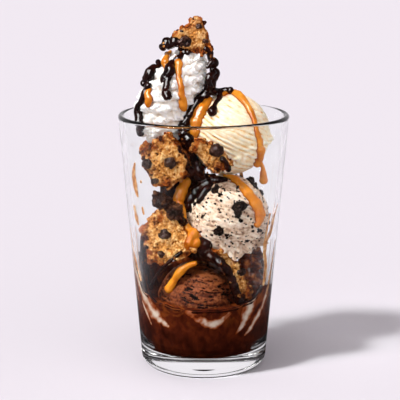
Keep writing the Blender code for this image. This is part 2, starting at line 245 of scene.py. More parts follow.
parts = addNode(tree, "SeparateXYZ", {0: direction.outputs["Generated"]})
through = addNode(tree, "ValToRGB", {"Fac": parts.outputs["Z"]},  # what the glass shows: pale low down, dark above
                  [(0.0, "f2ecf2"), (0.50, "f2ecf2"), (0.62, "b8b4b8"), (0.80, "9a969a"), (0.90, "ffffff")])
gloss = addNode(tree, "ValToRGB", {"Fac": parts.outputs["Z"]},
                [(0.0, "e8e4e8"), (0.35, "c8c4c8"), (0.70, "7a787a"), (0.95, "6a686a")])
power = addNode(tree, "Math", {0: towards(light["fillAim"], 0.1, 1.0, light["fill"]), 1: light["ambient"]},
                operation="ADD")
soft = addNode(tree, "Background", {"Color": hexToLinear(light["sky"]), "Strength": power.outputs[0]})
clearView = addNode(tree, "Background", {"Color": through.outputs["Color"], "Strength": 1.0})
dark = addNode(tree, "Background", {"Color": gloss.outputs["Color"], "Strength": 1.0})
direct = addNode(tree, "Math", {0: path.outputs["Diffuse Depth"], 1: 0.0, 2: 0.5}, operation="COMPARE")
glassOnly = addNode(tree, "Math", {0: path.outputs["Is Transmission Ray"], 1: direct.outputs[0]}, operation="MULTIPLY")
seen = addNode(tree, "MixShader", {0: glassOnly.outputs[0], 1: soft.outputs[0], 2: clearView.outputs[0]})
seen = addNode(tree, "MixShader", {0: inOpenAir(tree, path), 1: seen.outputs[0], 2: dark.outputs[0]})
shine = addNode(tree, "Math", {0: path.outputs["Glossy Depth"], 1: 1.0}, operation="MINIMUM")
shine = addNode(tree, "Math", {0: shine.outputs[0], 1: direct.outputs[0]}, operation="MULTIPLY")
boxes = addNode(tree, "Math", {0: towards(light["softBox"], 0.91, 0.95, light["softBoxPower"]),
                               1: towards(light["lowBox"], 0.945, 0.975, light["lowBoxPower"])}, operation="ADD")
shine = addNode(tree, "Math", {0: shine.outputs[0], 1: boxes.outputs[0]}, operation="MULTIPLY")
softBox = addNode(tree, "Background", {"Color": (1, 1, 1, 1), "Strength": shine.outputs[0]})
seen = addNode(tree, "AddShader", {0: seen.outputs[0], 1: softBox.outputs[0]})
tree.links.new(seen.outputs[0], tree.nodes.new("ShaderNodeOutputWorld").inputs["Surface"])
print("camera and light are set")


# Tumbler
tumbler = {"wall": 2.9, "base": 11.7, "foot": 33.1, "footRound": 6.5, "floorRound": 5.0,
           "punt": 2.0, "puntRadius": 23, "segments": 160}
glassLow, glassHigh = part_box("glass")
glassTall = glassHigh.z / mm
rimRadius = glassHigh.x / mm


def outerRadius(z):
    return tumbler["foot"] + (rimRadius - tumbler["foot"]) * z / glassTall


def innerRadius(z):
    return outerRadius(z) - tumbler["wall"]


def turnedPiece(name, profile, segments):  # profile of radius and height in mm, end to end
    bpy.ops.object.select_all(action="DESELECT")
    radius, z = profile[0]
    bpy.ops.mesh.primitive_circle_add(vertices=segments, radius=radius * mm, location=(0, 0, z * mm))
    item = bpy.context.view_layer.objects.active
    pickOnly(item)
    bpy.ops.object.transform_apply(location=True, rotation=False, scale=False)
    bpy.ops.object.mode_set(mode="EDIT")
    bpy.ops.mesh.select_all(action="SELECT")
    bpy.ops.mesh.edge_face_add()
    for nextRadius, nextZ in profile[1:]:
        bpy.ops.mesh.extrude_region_move(TRANSFORM_OT_translate={"value": (0, 0, (nextZ - z) * mm)})
        bpy.ops.transform.resize(value=[nextRadius / radius] * 2 + [1], center_override=(0, 0, nextZ * mm))
        radius, z = nextRadius, nextZ
    bpy.ops.mesh.select_all(action="SELECT")
    bpy.ops.mesh.normals_make_consistent(inside=False)
    bpy.ops.object.mode_set(mode="OBJECT")
    item.name = item.data.name = name
    return item


def arc(x, z, radius, start, end, steps=8):  # a rounded edge, in degrees from the outward side
    angles = [math.radians(start + (end - start) * i / steps) for i in range(steps + 1)]
    return [(x + radius * math.cos(a), z + radius * math.sin(a)) for a in angles]


bead = tumbler["wall"] / 2
inFloor, foot = tumbler["floorRound"], tumbler["footRound"]

def wallRings(radiusAt, low, high, count=14):  # rings close to both ends keep the long wall's shading straight
    heights = [low + 0.3, low + 0.8] + [low + (high - low) * i / count for i in range(1, count)]
    return [(radiusAt(z), z) for z in heights + [high - 0.8, high - 0.3]]


profile = [(0.4, tumbler["base"]), (innerRadius(tumbler["base"]) - inFloor - 0.4, tumbler["base"])]
profile += arc(innerRadius(tumbler["base"]) - inFloor, tumbler["base"] + inFloor, inFloor, -90, 0)
profile += wallRings(innerRadius, tumbler["base"] + inFloor, glassTall - bead)
profile += arc(rimRadius - bead, glassTall - bead, bead, 175, 0, 12)
profile += reversed(wallRings(outerRadius, foot, glassTall - bead))
profile += arc(outerRadius(foot) - foot, foot, foot, 0, -90)
profile += [(tumbler["puntRadius"] + 0.5, 0), (tumbler["puntRadius"], 0.05)]
profile += [(tumbler["puntRadius"] * math.cos(math.radians(a)), 0.05 + tumbler["punt"] * math.sin(math.radians(a)))
            for a in (12, 25, 40, 55, 70, 82)] + [(0.4, 0.05 + tumbler["punt"])]
glass = turnedPiece("tumbler", profile, tumbler["segments"])

# Soda-lime glass, pressed and fire polished: clear, with a faint green-grey edge
sodaGlass, tree = newMaterial("soda-lime glass")
clear = addNode(tree, "BsdfPrincipled", {"Base Color": hexToLinear("fbfdfc"), "Roughness": 0.0,
                                         "IOR": 1.52, "Specular Tint": hexToLinear("101010"),
                                         "Transmission Weight": 1.0})
passing = addNode(tree, "BsdfTransparent", {"Color": hexToLinear("f4f6f5")})
path = addNode(tree, "LightPath")
mix = addNode(tree, "MixShader", {"Fac": path.outputs["Is Shadow Ray"], 1: clear.outputs[0],
                                  2: passing.outputs[0]})
addNode(tree, "OutputMaterial", {"Surface": mix.outputs[0]})
finishPiece(glass, sodaGlass, "clear_glass", "glass")
print("tumbler is turned")

# Sauce in the bottom of the glass, dragged up the wall by the stirring
pool = {"level": 39.0, "intoWall": 0.12, "segments": 400, "wallStep": 0.55, "flat": 0.80,
        "humps": ((-112, 42, 29.0), (-82, 24, 21.0), (116, 46, 14.0), (180, 80, 10.0), (68, 24, 5.0)), "shelf": 3.5,
        "ragged": 2.4}
# melted ice cream smeared against the wall: degrees from the front, height, half width, how pale
streaks = (
    ((-84, 63, 1.4, 0.6), (-76, 54, 2.6, 0.8), (-67, 46.8, 2.9, 0.9), (-59, 40.5, 3.0, 1), (-50, 35.2, 3.1, 1),
     (-42, 31.5, 2.1, 0.9), (-33, 29.0, 0.7, 0.6)),
    ((-66, 38, 0.6, 0.6), (-58, 31.2, 0.9, 0.8), (-53, 27, 0.3, 0.5)),
    ((-24, 42, 0.8, 0.1), (-12, 37.6, 1.3, 0.15), (-3, 34.0, 1.4, 0.3), (3, 31.6, 1.6, 0.72), (10, 31.4, 1.7, 0.82),
     (16, 33.4, 1.2, 0.6), (23, 36.6, 0.8, 0.3)),
    ((47, 43.5, 2.6, 0.8), (44, 38.5, 3.2, 1), (40, 33.5, 2.6, 1), (35, 28.1, 1.2, 0.6), (30, 25.0, 0.5, 0.2)),
    ((70, 46, 1.0, 0.5), (67, 42.0, 1.4, 1), (61, 35.7, 1.7, 1), (54, 31.2, 1.6, 1), (47, 26.7, 1.3, 0.8),
     (40, 23.0, 0.5, 0.4)),
    ((-88, 60, 0.7, 0.3), (-84, 48, 1.2, 0.45), (-76, 38, 0.9, 0.3)),
    ((118, 54, 1.0, 0.6), (126, 45, 2.2, 1), (133, 36, 1.6, 1), (140, 29, 0.5, 0.6)),
    ((158, 46, 1.0, 0.5), (166, 40, 2.0, 1), (175, 34, 1.8, 1), (190, 31, 0.5, 0.6)),
    ((212, 50, 0.8, 0.5), (222, 42, 2.2, 1), (232, 35, 1.8, 1), (242, 28, 0.5, 0.6)),
)


def climb(angle):  # how far up the wall the sauce reaches past its level
    shelf = pool["shelf"] * ease(15, 60, abs(angle))
    humps = [high * (1 - ease(0, wide, abs((angle - at + 180) % 360 - 180))) for at, wide, high in pool["humps"]]
    around = Vector((math.cos(math.radians(angle)), math.sin(math.radians(angle)), 0)) * 35 * mm
    torn = grain(around, 7, 3) + 0.5 * grain(around, 2.6, 4)
    return shelf + max(humps) + torn * pool["ragged"] * ease(20, 60, abs(angle)) + 0.5 * grain(around, 9, 5)


bottom, level, inFloor = tumbler["base"] - pool["intoWall"], pool["level"], tumbler["floorRound"]
wallSteps = round((level - bottom - inFloor) / pool["wallStep"])
cornerRadius = innerRadius(bottom) + pool["intoWall"] - inFloor
profile = [(r, bottom) for r in (0.4, 8, 16, 20, 24)] + arc(cornerRadius, bottom + inFloor, inFloor, -90, 0, 10)
for step in range(1, wallSteps + 1):
    z = bottom + inFloor + (level - bottom - inFloor) * step / wallSteps
    profile.append((innerRadius(z) + pool["intoWall"], z))
wallTop = profile[-1][0]
shares = [1 - 0.006 * i for i in range(1, 30)] + [0.8 - 0.03 * i for i in range(1, 26)]
profile += [(wallTop * share, level) for share in shares] + [(0.4, level)]
sauce = turnedPiece("fudge_sauce_pool", profile, pool["segments"])

angles = {}
for vert in sauce.data.vertices:
    x, y, z = vert.co / mm
    angle = math.degrees(math.atan2(x, -y))
    key = round(angle, 1)
    if key not in angles:
        angles[key] = climb(angle)
    radius = math.hypot(x, y)
    share = radius / wallTop
    if z > level - 0.01 and share < 0.999:
        rise = ease(pool["flat"], 1.0, share) ** 1.6
        ripple = 0.45 * grain(vert.co, 8, 1) + 0.2 * grain(vert.co, 3, 2)
        z = level + angles[key] * rise - 0.6 * ease(0.97, 1, share) + ripple * (1 - rise)
        radius *= (innerRadius(z) + pool["intoWall"]) / wallTop
    elif z > bottom + 0.01:
        low = ease(bottom, bottom + inFloor, z)
        z = bottom + (z - bottom) * (1 + angles[key] / (level - bottom))
        if low >= 1:
            radius = innerRadius(z) + pool["intoWall"]
    length = math.hypot(x, y)
    vert.co = Vector((x / length * radius, y / length * radius, z)) * mm


def streakAt(angle, z):  # 1 in the middle of a streak, 0 outside its ragged edge
    best = 0.0
    for run in streaks:
        for (a1, z1, w1, pale1), (a2, z2, w2, pale2) in zip(run, run[1:]):
            scale = 0.62  # mm round the wall for each degree
            px, pz = ((angle - a1 + 180) % 360 - 180) * scale, z - z1
            dx, dz = (a2 - a1) * scale, z2 - z1
            t = min(max((px * dx + pz * dz) / (dx * dx + dz * dz), 0), 1)
            away = math.hypot(px - dx * t, pz - dz * t)
            best = max(best, min(1 - away / (1.5 * (w1 + (w2 - w1) * t)) * 0.5, 0.5 + 0.5 * (pale1 + (pale2 - pale1) * t)))
    return best


layer = sauce.data.attributes.new("streak", "FLOAT", "POINT")
for vert in sauce.data.vertices:
    x, y, z = vert.co / mm
    value = 0.0
    if math.hypot(x, y) > innerRadius(z) - 0.5:
        value = streakAt(math.degrees(math.atan2(x, -y)), z)
        value += 0.20 * grain(vert.co, 3.0, 6) + 0.12 * grain(vert.co, 1.3, 7)
    layer.data[vert.index].value = value

# Hot fudge: cocoa, butter and syrup, thick and wet, nearly black where it is deep and red at a thin edge
fudge = {"deep": "100403", "thin": "2a0c06", "rough": 0.08}
fudgeSauce, tree = newMaterial("hot fudge sauce")
place = addNode(tree, "TexCoord")
cloud = addNode(tree, "TexNoise", {"Vector": place.outputs["Object"], "Scale": 220, "Detail": 2})
tone = addNode(tree, "ValToRGB", {"Fac": cloud.outputs["Fac"]}, [(0.35, fudge["deep"]), (0.75, fudge["thin"])])
bumps = addNode(tree, "Bump", {"Height": cloud.outputs["Fac"], "Strength": 0.6, "Distance": 1.0 * mm})
shader = addNode(tree, "BsdfPrincipled", {"Base Color": tone.outputs["Color"], "Normal": bumps.outputs["Normal"],
                                          "Roughness": fudge["rough"], "IOR": 1.48,
                                          "Specular IOR Level": 0.08})
addNode(tree, "OutputMaterial", {"Surface": shader.outputs[0]})

# The same fudge thinned with melted ice cream against the glass: browner, streaked down the wall
pooledSauce, tree = newMaterial("fudge with melted ice cream")
place = addNode(tree, "TexCoord")
stretched = addNode(tree, "Mapping", {"Vector": place.outputs["Object"], "Scale": (1, 1, 0.65)})
swirl = addNode(tree, "TexNoise", {"Vector": stretched.outputs["Vector"], "Scale": 210, "Detail": 4,
                                   "Distortion": 0.6})
brown = addNode(tree, "ValToRGB", {"Fac": swirl.outputs["Fac"]},
                [(0.28, "260b05"), (0.50, "42170b"), (0.74, "642812")])
height = addNode(tree, "SeparateXYZ", {0: place.outputs["Object"]})
high = addNode(tree, "MapRange", {"Value": height.outputs["Z"], "From Min": 27 * mm, "From Max": 42 * mm})
veil = addNode(tree, "TexNoise", {"Vector": place.outputs["Object"], "Scale": 130, "Detail": 5, "Distortion": 1.4})
veil = addNode(tree, "MapRange", {"Value": veil.outputs["Fac"], "From Min": 0.50, "From Max": 0.66})
veil = addNode(tree, "Math", {0: veil.outputs["Result"], 1: high.outputs["Result"]}, operation="MULTIPLY")
low = addNode(tree, "MapRange", {"Value": height.outputs["Z"], "From Min": 31 * mm, "From Max": 14 * mm,
                                 "To Max": 0.65})
brown = addNode(tree, "Mix", {0: low.outputs["Result"], 6: brown.outputs["Color"], 7: hexToLinear("1e0804")},
                data_type="RGBA")
brown = addNode(tree, "Mix", {0: veil.outputs[0], 6: brown.outputs[2], 7: hexToLinear("7e3c16")},
                data_type="RGBA")
streak = addNode(tree, "Attribute", attribute_name="streak")
smeared = addNode(tree, "ValToRGB", {"Fac": streak.outputs["Fac"]},
                  [(0.50, "3c140a"), (0.58, "7a3414"), (0.70, "98583a"), (0.82, "b99a84"), (0.98, "d0c0b0")])
inStreak = addNode(tree, "MapRange", {"Value": streak.outputs["Fac"], "From Min": 0.47, "From Max": 0.53})
blend = addNode(tree, "Mix", {0: inStreak.outputs["Result"], 6: brown.outputs[2],
                              7: smeared.outputs["Color"]}, data_type="RGBA")
shader = addNode(tree, "BsdfPrincipled", {"Base Color": blend.outputs[2], "Roughness": 0.3, "IOR": 1.45,
                                          "Specular IOR Level": 0.0})
addNode(tree, "OutputMaterial", {"Surface": shader.outputs[0]})
finishPiece(sauce, pooledSauce, "fudge_sauce", "fudge_pool")
print("sauce is poured")


# Scoops of ice cream
def inScoop(node):  # the middle and radius of a ball, from its node's box
    low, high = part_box(node)
    return (low + high) / 2, (high - low).length / 3.4641


def stretchedGrain(place, along, sizes, seed=0.0):  # noise drawn out along a direction
    third = along.cross(Vector((0, 1, 0))).normalized()
    across = third.cross(along)
    return noise.noise(Vector((place.dot(along) / sizes[0], place.dot(across) / sizes[1],
                               place.dot(third) / sizes[2])) / mm + Vector((seed * 7.3, seed, 0)))


def iceCream(name, valleyShade, middle, ridge, scatter, gloss):
    # churned ice cream: milk fat and air, matt and slightly translucent; painted shade darkens the torn valleys
    material, tree = newMaterial(name)
    place = addNode(tree, "TexCoord")
    depth = addNode(tree, "Attribute", attribute_name="depth")
    mottle = addNode(tree, "TexNoise", {"Vector": place.outputs["Object"], "Scale": 420, "Detail": 4})
    shade = addNode(tree, "MapRange", {"Value": mottle.outputs["Fac"], "From Min": 0.3, "From Max": 0.7,
                                       "To Min": -0.12, "To Max": 0.12})
    level = addNode(tree, "Math", {0: depth.outputs["Fac"], 1: shade.outputs["Result"]}, operation="ADD")
    # painted shade: low points of the sculpted surface take the dark valley colour, raised ones the pale ridge colour
    tone = addNode(tree, "ValToRGB", {"Fac": level.outputs[0]}, [(0.12, valleyShade), (0.45, middle), (0.80, ridge)])
    fine = addNode(tree, "TexNoise", {"Vector": place.outputs["Object"], "Scale": 1500, "Detail": 3})
    bumps = addNode(tree, "Bump", {"Height": fine.outputs["Fac"], "Strength": 0.35, "Distance": 0.3 * mm})
    shader = addNode(tree, "BsdfPrincipled", {
        "Base Color": tone.outputs["Color"], "Normal": bumps.outputs["Normal"], "Roughness": 0.5,
        "Specular IOR Level": gloss,
        "Subsurface Weight": scatter, "Subsurface Radius": (1.0, 0.6, 0.4), "Subsurface Scale": 1.5 * mm})
    addNode(tree, "OutputMaterial", {"Surface": shader.outputs[0]})
    return material


scoops = {
    "voxel": 0.42,
    "vanilla": {"skirtPole": (-0.5, 0.1, 0.8), "skirtAt": -0.62, "skirt": 1.9, "seed": 3,
                "along": (0.87, 0.0, -0.46), "spacing": 2.4, "ridges": 0.62},
    "cookiesCream": {"skirtPole": (-0.35, 0.1, 1), "skirtAt": -0.76, "skirt": 3.4, "seed": 5,
                     "along": (0.9, 0.0, -0.4), "ridges": 0.62},
    "chocolate": {"along": (0.98, 0.0, -0.17), "seed": 8, "ridges": 0.45, "cracks": 1.3},
}


def skirtOf(place, middle, radius, values):  # the ragged lip the scoop's rim leaves, in mm
    pole = Vector(values["skirtPole"]).normalized()
    height = (place - middle).dot(pole) / radius
    torn = 0.45 + 1.1 * grain(place, 5, values["seed"]) + 1.0 * grain(place, 2, values["seed"] + 1)
    return values["skirt"] * torn * math.exp(-((height - values["skirtAt"]) / 0.13) ** 2)


# Each shape gives the lift in mm and a height mark; the ice cream's ramp turns low marks into painted shade.
def vanillaShape(place, normal):
    values = scoops["vanilla"]
    along = Vector(values["along"]).normalized()
    across = along.cross(Vector((0, 1, 0)))
    rows = (place - vanillaMiddle).dot(across) / (values["spacing"] * mm)
    rows += 0.45 * grain(place, 15, 31) + 0.16 * stretchedGrain(place, along, (9, 4, 2.4), 37)
    ridge = 1 - abs(2 * (rows % 1) - 1) ** 2.2
    smooth = ease(-0.2, 0.75, (place - vanillaMiddle).dot(Vector((0.55, 0, 0.83))) / vanillaRadius)
    strength = ease(-0.45, 0.15, stretchedGrain(place, along, (16, 8, 5), 32)) * (1 - 0.8 * smooth)
    fine = stretchedGrain(place, along, (6, 2.0, 0.8), 33)
    torn = max(0, stretchedGrain(place, along, (5, 2.0, 0.9), 34) - 0.12) * (1.3 - ridge)
    raised = (ridge - 0.72) * strength + 0.28 * fine - 1.3 * torn
    skirt = skirtOf(place, vanillaMiddle, vanillaRadius, values)
    lift = values["ridges"] * raised + max(skirt, -0.3) + 0.16 * grain(place, 0.9, 35)
    return lift, 0.60 + 0.62 * raised + 0.10 * grain(place, 1.4, 36) + 0.1 * max(skirt, 0)


def cookiesCreamShape(place, normal):
    values = scoops["cookiesCream"]
    along = Vector(values["along"]).normalized()
    broad = stretchedGrain(place, along, (10, 5, 2.6), 42)
    fine = stretchedGrain(place, along, (3.2, 1.5, 0.8), 43)
    nicks = max(0, stretchedGrain(place, along, (2.6, 1.5, 0.9), 46) - 0.18)
    skirt = skirtOf(place, creamMiddle, creamRadius, values)
    raised = 0.55 * broad + 0.65 * fine - 1.6 * nicks
    lift = values["ridges"] * raised + max(skirt, -0.3) + 0.20 * grain(place, 0.85, 44)
    return lift, 0.58 + 0.55 * raised + 0.25 * grain(place, 1.1, 45)


def chocolateShape(place, normal):
    values = scoops["chocolate"]
    along = Vector(values["along"]).normalized()
    warp = place + Vector((0, 0, 0.7 * mm * grain(place, 6, 51)))
    crack = stretchedGrain(warp, along, (4.2, 3.0, 0.85), 52)
    small = stretchedGrain(warp, along, (2.6, 1.8, 0.50), 53)
    middle = ease(-0.45, 0.15, grain(place, 9, 54))
    torn = ease(0.22, 0.36, crack) * middle + 0.7 * ease(0.24, 0.42, small) * middle
    rows = stretchedGrain(warp, along, (8, 5, 1.7), 55)
    lift = values["ridges"] * rows - values["cracks"] * torn + 0.18 * grain(place, 0.9, 56)
    paintedTopLight = 0.20 * ease(0.2, 0.95, normal.z)  # painted light: the upper side is paler, as if lit from above
    # painted shade: the cracks get a low mark and so the near-black valley colour
    return lift, 0.53 + paintedTopLight - 0.85 * torn + 0.34 * rows + 0.26 * grain(place, 1.1, 57)


vanillaMiddle, vanillaRadius = inScoop("vanilla_scoop")
creamMiddle, creamRadius = inScoop("cookies_cream_scoop")
chocLow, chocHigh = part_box("chocolate_scoop")
chocRadius = 0.49 * (chocHigh.x - chocLow.x)
chocMiddle = Vector(((chocLow.x + chocHigh.x) / 2, chocHigh.y - chocRadius, chocLow.z + chocRadius))

vanilla = addBall(vanillaMiddle, vanillaRadius - 0.5 * mm, 6)
vanilla.name = vanilla.data.name = "vanilla_ice_cream"
remesh(vanilla, scoops["voxel"], 2)
sculpt(vanilla, vanillaShape, ["depth"])
finishPiece(vanilla, iceCream("vanilla ice cream", "e6a85c", "f9dcb0", "fff1dc", 0.3, 0.15),
            "vanilla_ice_cream", "vanilla_scoop")

speckled = addBall(creamMiddle, creamRadius - 0.5 * mm, 6)
speckled.name = speckled.data.name = "cookies_and_cream_ice_cream"
remesh(speckled, scoops["voxel"], 2)
sculpt(speckled, cookiesCreamShape, ["depth"])
finishPiece(speckled, iceCream("cookies and cream ice cream", "96705a", "d9b89e", "f1ddcb", 0.3, 0.15),
            "cookies_and_cream_ice_cream", "cookies_cream_scoop")

lobe = {"place": (0.4, -13.5, 39.2), "radius": 16.2}
chocolate = joinAll([addBall(chocMiddle, chocRadius - 0.4 * mm, 6),
                     addBall(Vector(lobe["place"]) * mm, lobe["radius"] * mm, 6)], "chocolate_ice_cream")
remesh(chocolate, scoops["voxel"], 2)
sculpt(chocolate, chocolateShape, ["depth"])
# the near-black valley colour is painted shade in the cracks
finishPiece(chocolate, iceCream("chocolate ice cream", "0a0302", "481c0c", "7e4425", 0.08, 0.06),
            "chocolate_ice_cream", "chocolate_scoop")
print("ice cream is scooped")


# Whipped cream, piped through a star nozzle in a leaning swirl
cream = {"tier": 6.5, "tierDepth": 2.4, "ruffles": 29, "ruffleDepth": 1.4, "slant": 1.7,
         "lumps": 1.7, "lumpSize": 3.0,
         "rings": 210, "segments": 270,
         # height share, radius of the swirl's outside, middle x
         "stations": ((0.0, 9.0, -20.5), (0.06, 12.5, -21.0), (0.2, 15.0, -21.3), (0.36, 16.6, -20.2),
                      (0.56, 17.6, -16.6), (0.72, 16.2, -12.8), (0.86, 12.4, -9.4), (0.95, 7.5, -7.6),
                      (1.0, 3.0, -7.0))}
creamLow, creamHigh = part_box("whipped_cream")
creamY = (creamLow.y + creamHigh.y) / 2
creamTall = (creamHigh.z - creamLow.z) / mm


def readStations(share):
    for low, high in zip(cream["stations"], cream["stations"][1:]):
        if share <= high[0]:
            t = (share - low[0]) / (high[0] - low[0])
            return [a + (b - a) * t for a, b in zip(low[1:], high[1:])]
    return list(cream["stations"][-1][1:])


profile = [(0.3, creamLow.z / mm + 0.6)]
for ring in range(cream["rings"] + 1):
    share = ring / cream["rings"]
    profile.append((readStations(share)[0] - 1.0, creamLow.z / mm + 1.0 + (creamTall - 2.0) * share))
profile.append((0.3, creamHigh.z / mm - 0.8))
whipped = turnedPiece("piped_whipped_cream", profile, cream["segments"])
for vert in whipped.data.vertices:
    share = (vert.co.z - creamLow.z) / (creamHigh.z - creamLow.z)
    vert.co.x += readStations(share)[1] * mm
    vert.co.y += creamY
whipped.data.update()


def creamShape(place, normal):
    share = (place.z - creamLow.z) / (creamHigh.z - creamLow.z)
    outside, middleX = readStations(share)
    around = math.atan2(place.y - creamY, place.x - middleX * mm) / math.tau
    tier = (place.z - creamLow.z) / mm / cream["tier"] - around + 0.30 * grain(place, 9, 60) + 0.16 * grain(place, 4, 64)
    up = tier % 1
    bulge = math.sin(math.pi * up ** 0.8) ** 0.7
    turn = cream["ruffles"] * around + cream["slant"] * up + 0.9 * grain(place, 4.5, 61) + 0.37 * math.floor(tier)
    ruffle = (1 - abs(2 * (turn % 1) - 1) ** 1.6) * (0.65 + 0.7 * grain(place, 6, 65))
    near, points = noise.voronoi(place / (cream["lumpSize"] * mm))
    lump = 1 - ease(0.0, 0.85, near[0])
    soft = cream["lumps"] * (lump - 0.5) + 0.5 * grain(place, 1.9, 63)
    lift = cream["tierDepth"] * (bulge - 0.75) + cream["ruffleDepth"] * bulge * (ruffle - 0.5) + soft * (0.5 + 0.5 * bulge)
    # the second value is low in the creases, where the cream's ramp paints shade
    return lift * ease(0, 5, outside), 0.12 + 0.45 * bulge * (0.4 + 0.6 * ruffle) + 0.22 * lump + 0.12 * soft


sculpt(whipped, creamShape, ["depth"])
for vert in whipped.data.vertices:  # every point is kept inside the node's box
    vert.co.z = min(max(vert.co.z, creamLow.z), creamHigh.z)
    vert.co.y = min(max(vert.co.y, creamLow.y), creamHigh.y)
    vert.co.x = min(max(vert.co.x, creamLow.x), creamHigh.x)

# Whipped dairy cream: fat foam, bright and soft, scattering light under the skin
dairyCream, tree = newMaterial("whipped dairy cream")
depth = addNode(tree, "Attribute", attribute_name="depth")
# painted shade: the warm beige low end of the ramp darkens the creases between tiers and ruffles
tone = addNode(tree, "ValToRGB", {"Fac": depth.outputs["Fac"]}, [(0.06, "dcc8b2"), (0.22, "f3eadf"), (0.45, "fdf9f3"), (0.8, "fffdf9")])
shader = addNode(tree, "BsdfPrincipled", {
    "Base Color": tone.outputs["Color"], "Roughness": 0.42, "Specular IOR Level": 0.15, "Subsurface Weight": 0.6,
    "Subsurface Radius": (1.0, 0.9, 0.8), "Subsurface Scale": 1.8 * mm})
addNode(tree, "OutputMaterial", {"Surface": shader.outputs[0]})
finishPiece(whipped, dairyCream, "whipped_cream", "whipped_cream")
print("cream is piped")


# Broken cookies: crumb where they snapped, browner crust round the outside
cookies = {
    "voxel": 0.34, "nubs": 34, "nubSize": (1.2, 2.4), "lumps": 0.9, "grains": 0.42, "grainSize": 1.0, "pits": 0.7,
    "pieces": {"cookie_top": 1, "cookie_upper_left": 2, "cookie_centre": 3, "cookie_lower_left": 4,
               "cookie_lower_right": 5, "cookie_under_cream": 6},
}


def cookieShape(place, normal, low, high):
    lumps = grain(place, 4.2, 71) * 0.8 + grain(place, 2.2, 72) * 0.55
    near, points = noise.voronoi(place / (cookies["grainSize"] * mm) + Vector((0, 0, 0.3 * grain(place, 2, 75))))
    kernel = 1 - ease(0.0, 0.75, near[0])  # each grain of crumb
    hollow = ease(0.0, 0.35, noise.noise(points[0] * 3.1) - 0.26)  # some grains have fallen out
    across, up = ((2 * place[i] - low[i] - high[i]) / (high[i] - low[i]) for i in (0, 2))
    outer = math.hypot(across, up) + 0.6 * grain(place, 4, 74) + 0.35 * grain(place, 1.4, 76)
    crust = max(ease(0.60, 1.02, outer), ease(0.1, 0.7, 1 - abs(normal.y) * 1.15 + 0.5 * grain(place, 4, 74)))
    raised = cookies["grains"] * (kernel - 0.55) * (1 - 0.4 * crust) - cookies["pits"] * hollow * (1 - 0.6 * crust)
    fine = 0.22 * grain(place, 0.8, 73)
    return cookies["lumps"] * lumps + raised + fine, crust, 0.58 + 0.34 * lumps + 0.62 * raised + 0.9 * fine


# Baked cookie: sugary crumb, pale and open inside, caramelised brown at the crust
bakedCookie, tree = newMaterial("baked cookie crumb")
place = addNode(tree, "TexCoord")
depth = addNode(tree, "Attribute", attribute_name="depth")
crust = addNode(tree, "Attribute", attribute_name="crust")
mottle = addNode(tree, "TexNoise", {"Vector": place.outputs["Object"], "Scale": 650, "Detail": 5})
shade = addNode(tree, "MapRange", {"Value": mottle.outputs["Fac"], "From Min": 0.3, "From Max": 0.7,
                                   "To Min": -0.22, "To Max": 0.22})
level = addNode(tree, "Math", {0: depth.outputs["Fac"], 1: shade.outputs["Result"]}, operation="ADD")
# painted shade: the dark low end of both ramps falls in the pits and hollows of the crumb
inside = addNode(tree, "ValToRGB", {"Fac": level.outputs[0]},
                 [(0.02, "3c1806"), (0.22, "90501c"), (0.48, "cc8a44"), (0.85, "f2c88c")])
outside = addNode(tree, "ValToRGB", {"Fac": level.outputs[0]},
                  [(0.05, "1c0702"), (0.34, "4c1c08"), (0.60, "8a400f"), (0.94, "bf7430")])
blend = addNode(tree, "Mix", {0: crust.outputs["Fac"], 6: inside.outputs["Color"], 7: outside.outputs["Color"]},
                data_type="RGBA")
fine = addNode(tree, "TexNoise", {"Vector": place.outputs["Object"], "Scale": 1400, "Detail": 4})
bumps = addNode(tree, "Bump", {"Height": fine.outputs["Fac"], "Strength": 0.6, "Distance": 0.35 * mm})
shader = addNode(tree, "BsdfPrincipled", {"Base Color": blend.outputs[2], "Normal": bumps.outputs["Normal"],
                                          "Roughness": 0.75, "Specular IOR Level": 0.06, "Subsurface Weight": 0.1,
                                          "Subsurface Radius": (1.0, 0.5, 0.25), "Subsurface Scale": 0.8 * mm})
addNode(tree, "OutputMaterial", {"Surface": shader.outputs[0]})


def nubbed(node, name, seed, count, sizes):  # the node's shape with rounded nubs stuck round it
    body = mergedCopy(node, name)
    draw = random.Random(seed)
    spots = draw.sample(range(len(body.data.vertices)), min(count, len(body.data.vertices)))
    nubs = []
    for spot in spots:
        vert = body.data.vertices[spot]
        size = draw.uniform(*sizes)
        nubs.append(addBall(vert.co - vert.normal * size * 0.35 * mm, size * mm, 2,
                            turn=[draw.uniform(0, 180) for _ in range(3)], squash=(1, 0.85, 0.75)))
    return joinAll([body] + nubs, name)


for node, seed in cookies["pieces"].items():
    cookie = nubbed(node, "baked_" + node, seed, cookies["nubs"], cookies["nubSize"])
    remesh(cookie, cookies["voxel"], 2)
    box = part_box(node)
    sculpt(cookie, lambda place, normal: cookieShape(place, normal, *box), ["crust", "depth"])
    for vert in cookie.data.vertices:
        vert.co.z = min(vert.co.z, box[1].z - 0.02 * mm * (1 + noise.noise(vert.co / mm)))
    finishPiece(cookie, bakedCookie, "chocolate_chip_cookie", node)
print("cookies are broken")


# Brownie crumbs
def brownieShape(place, normal):
    lumps = grain(place, 3.0, 81) * 0.8 + grain(place, 1.4, 82) * 0.6 + grain(place, 0.8, 83) * 0.3
    return 1.5 * lumps, 0.45 + 0.7 * lumps


# Brownie: dense cocoa crumb, dull and nearly black
brownieCrumb, tree = newMaterial("brownie crumb")
depth = addNode(tree, "Attribute", attribute_name="depth")
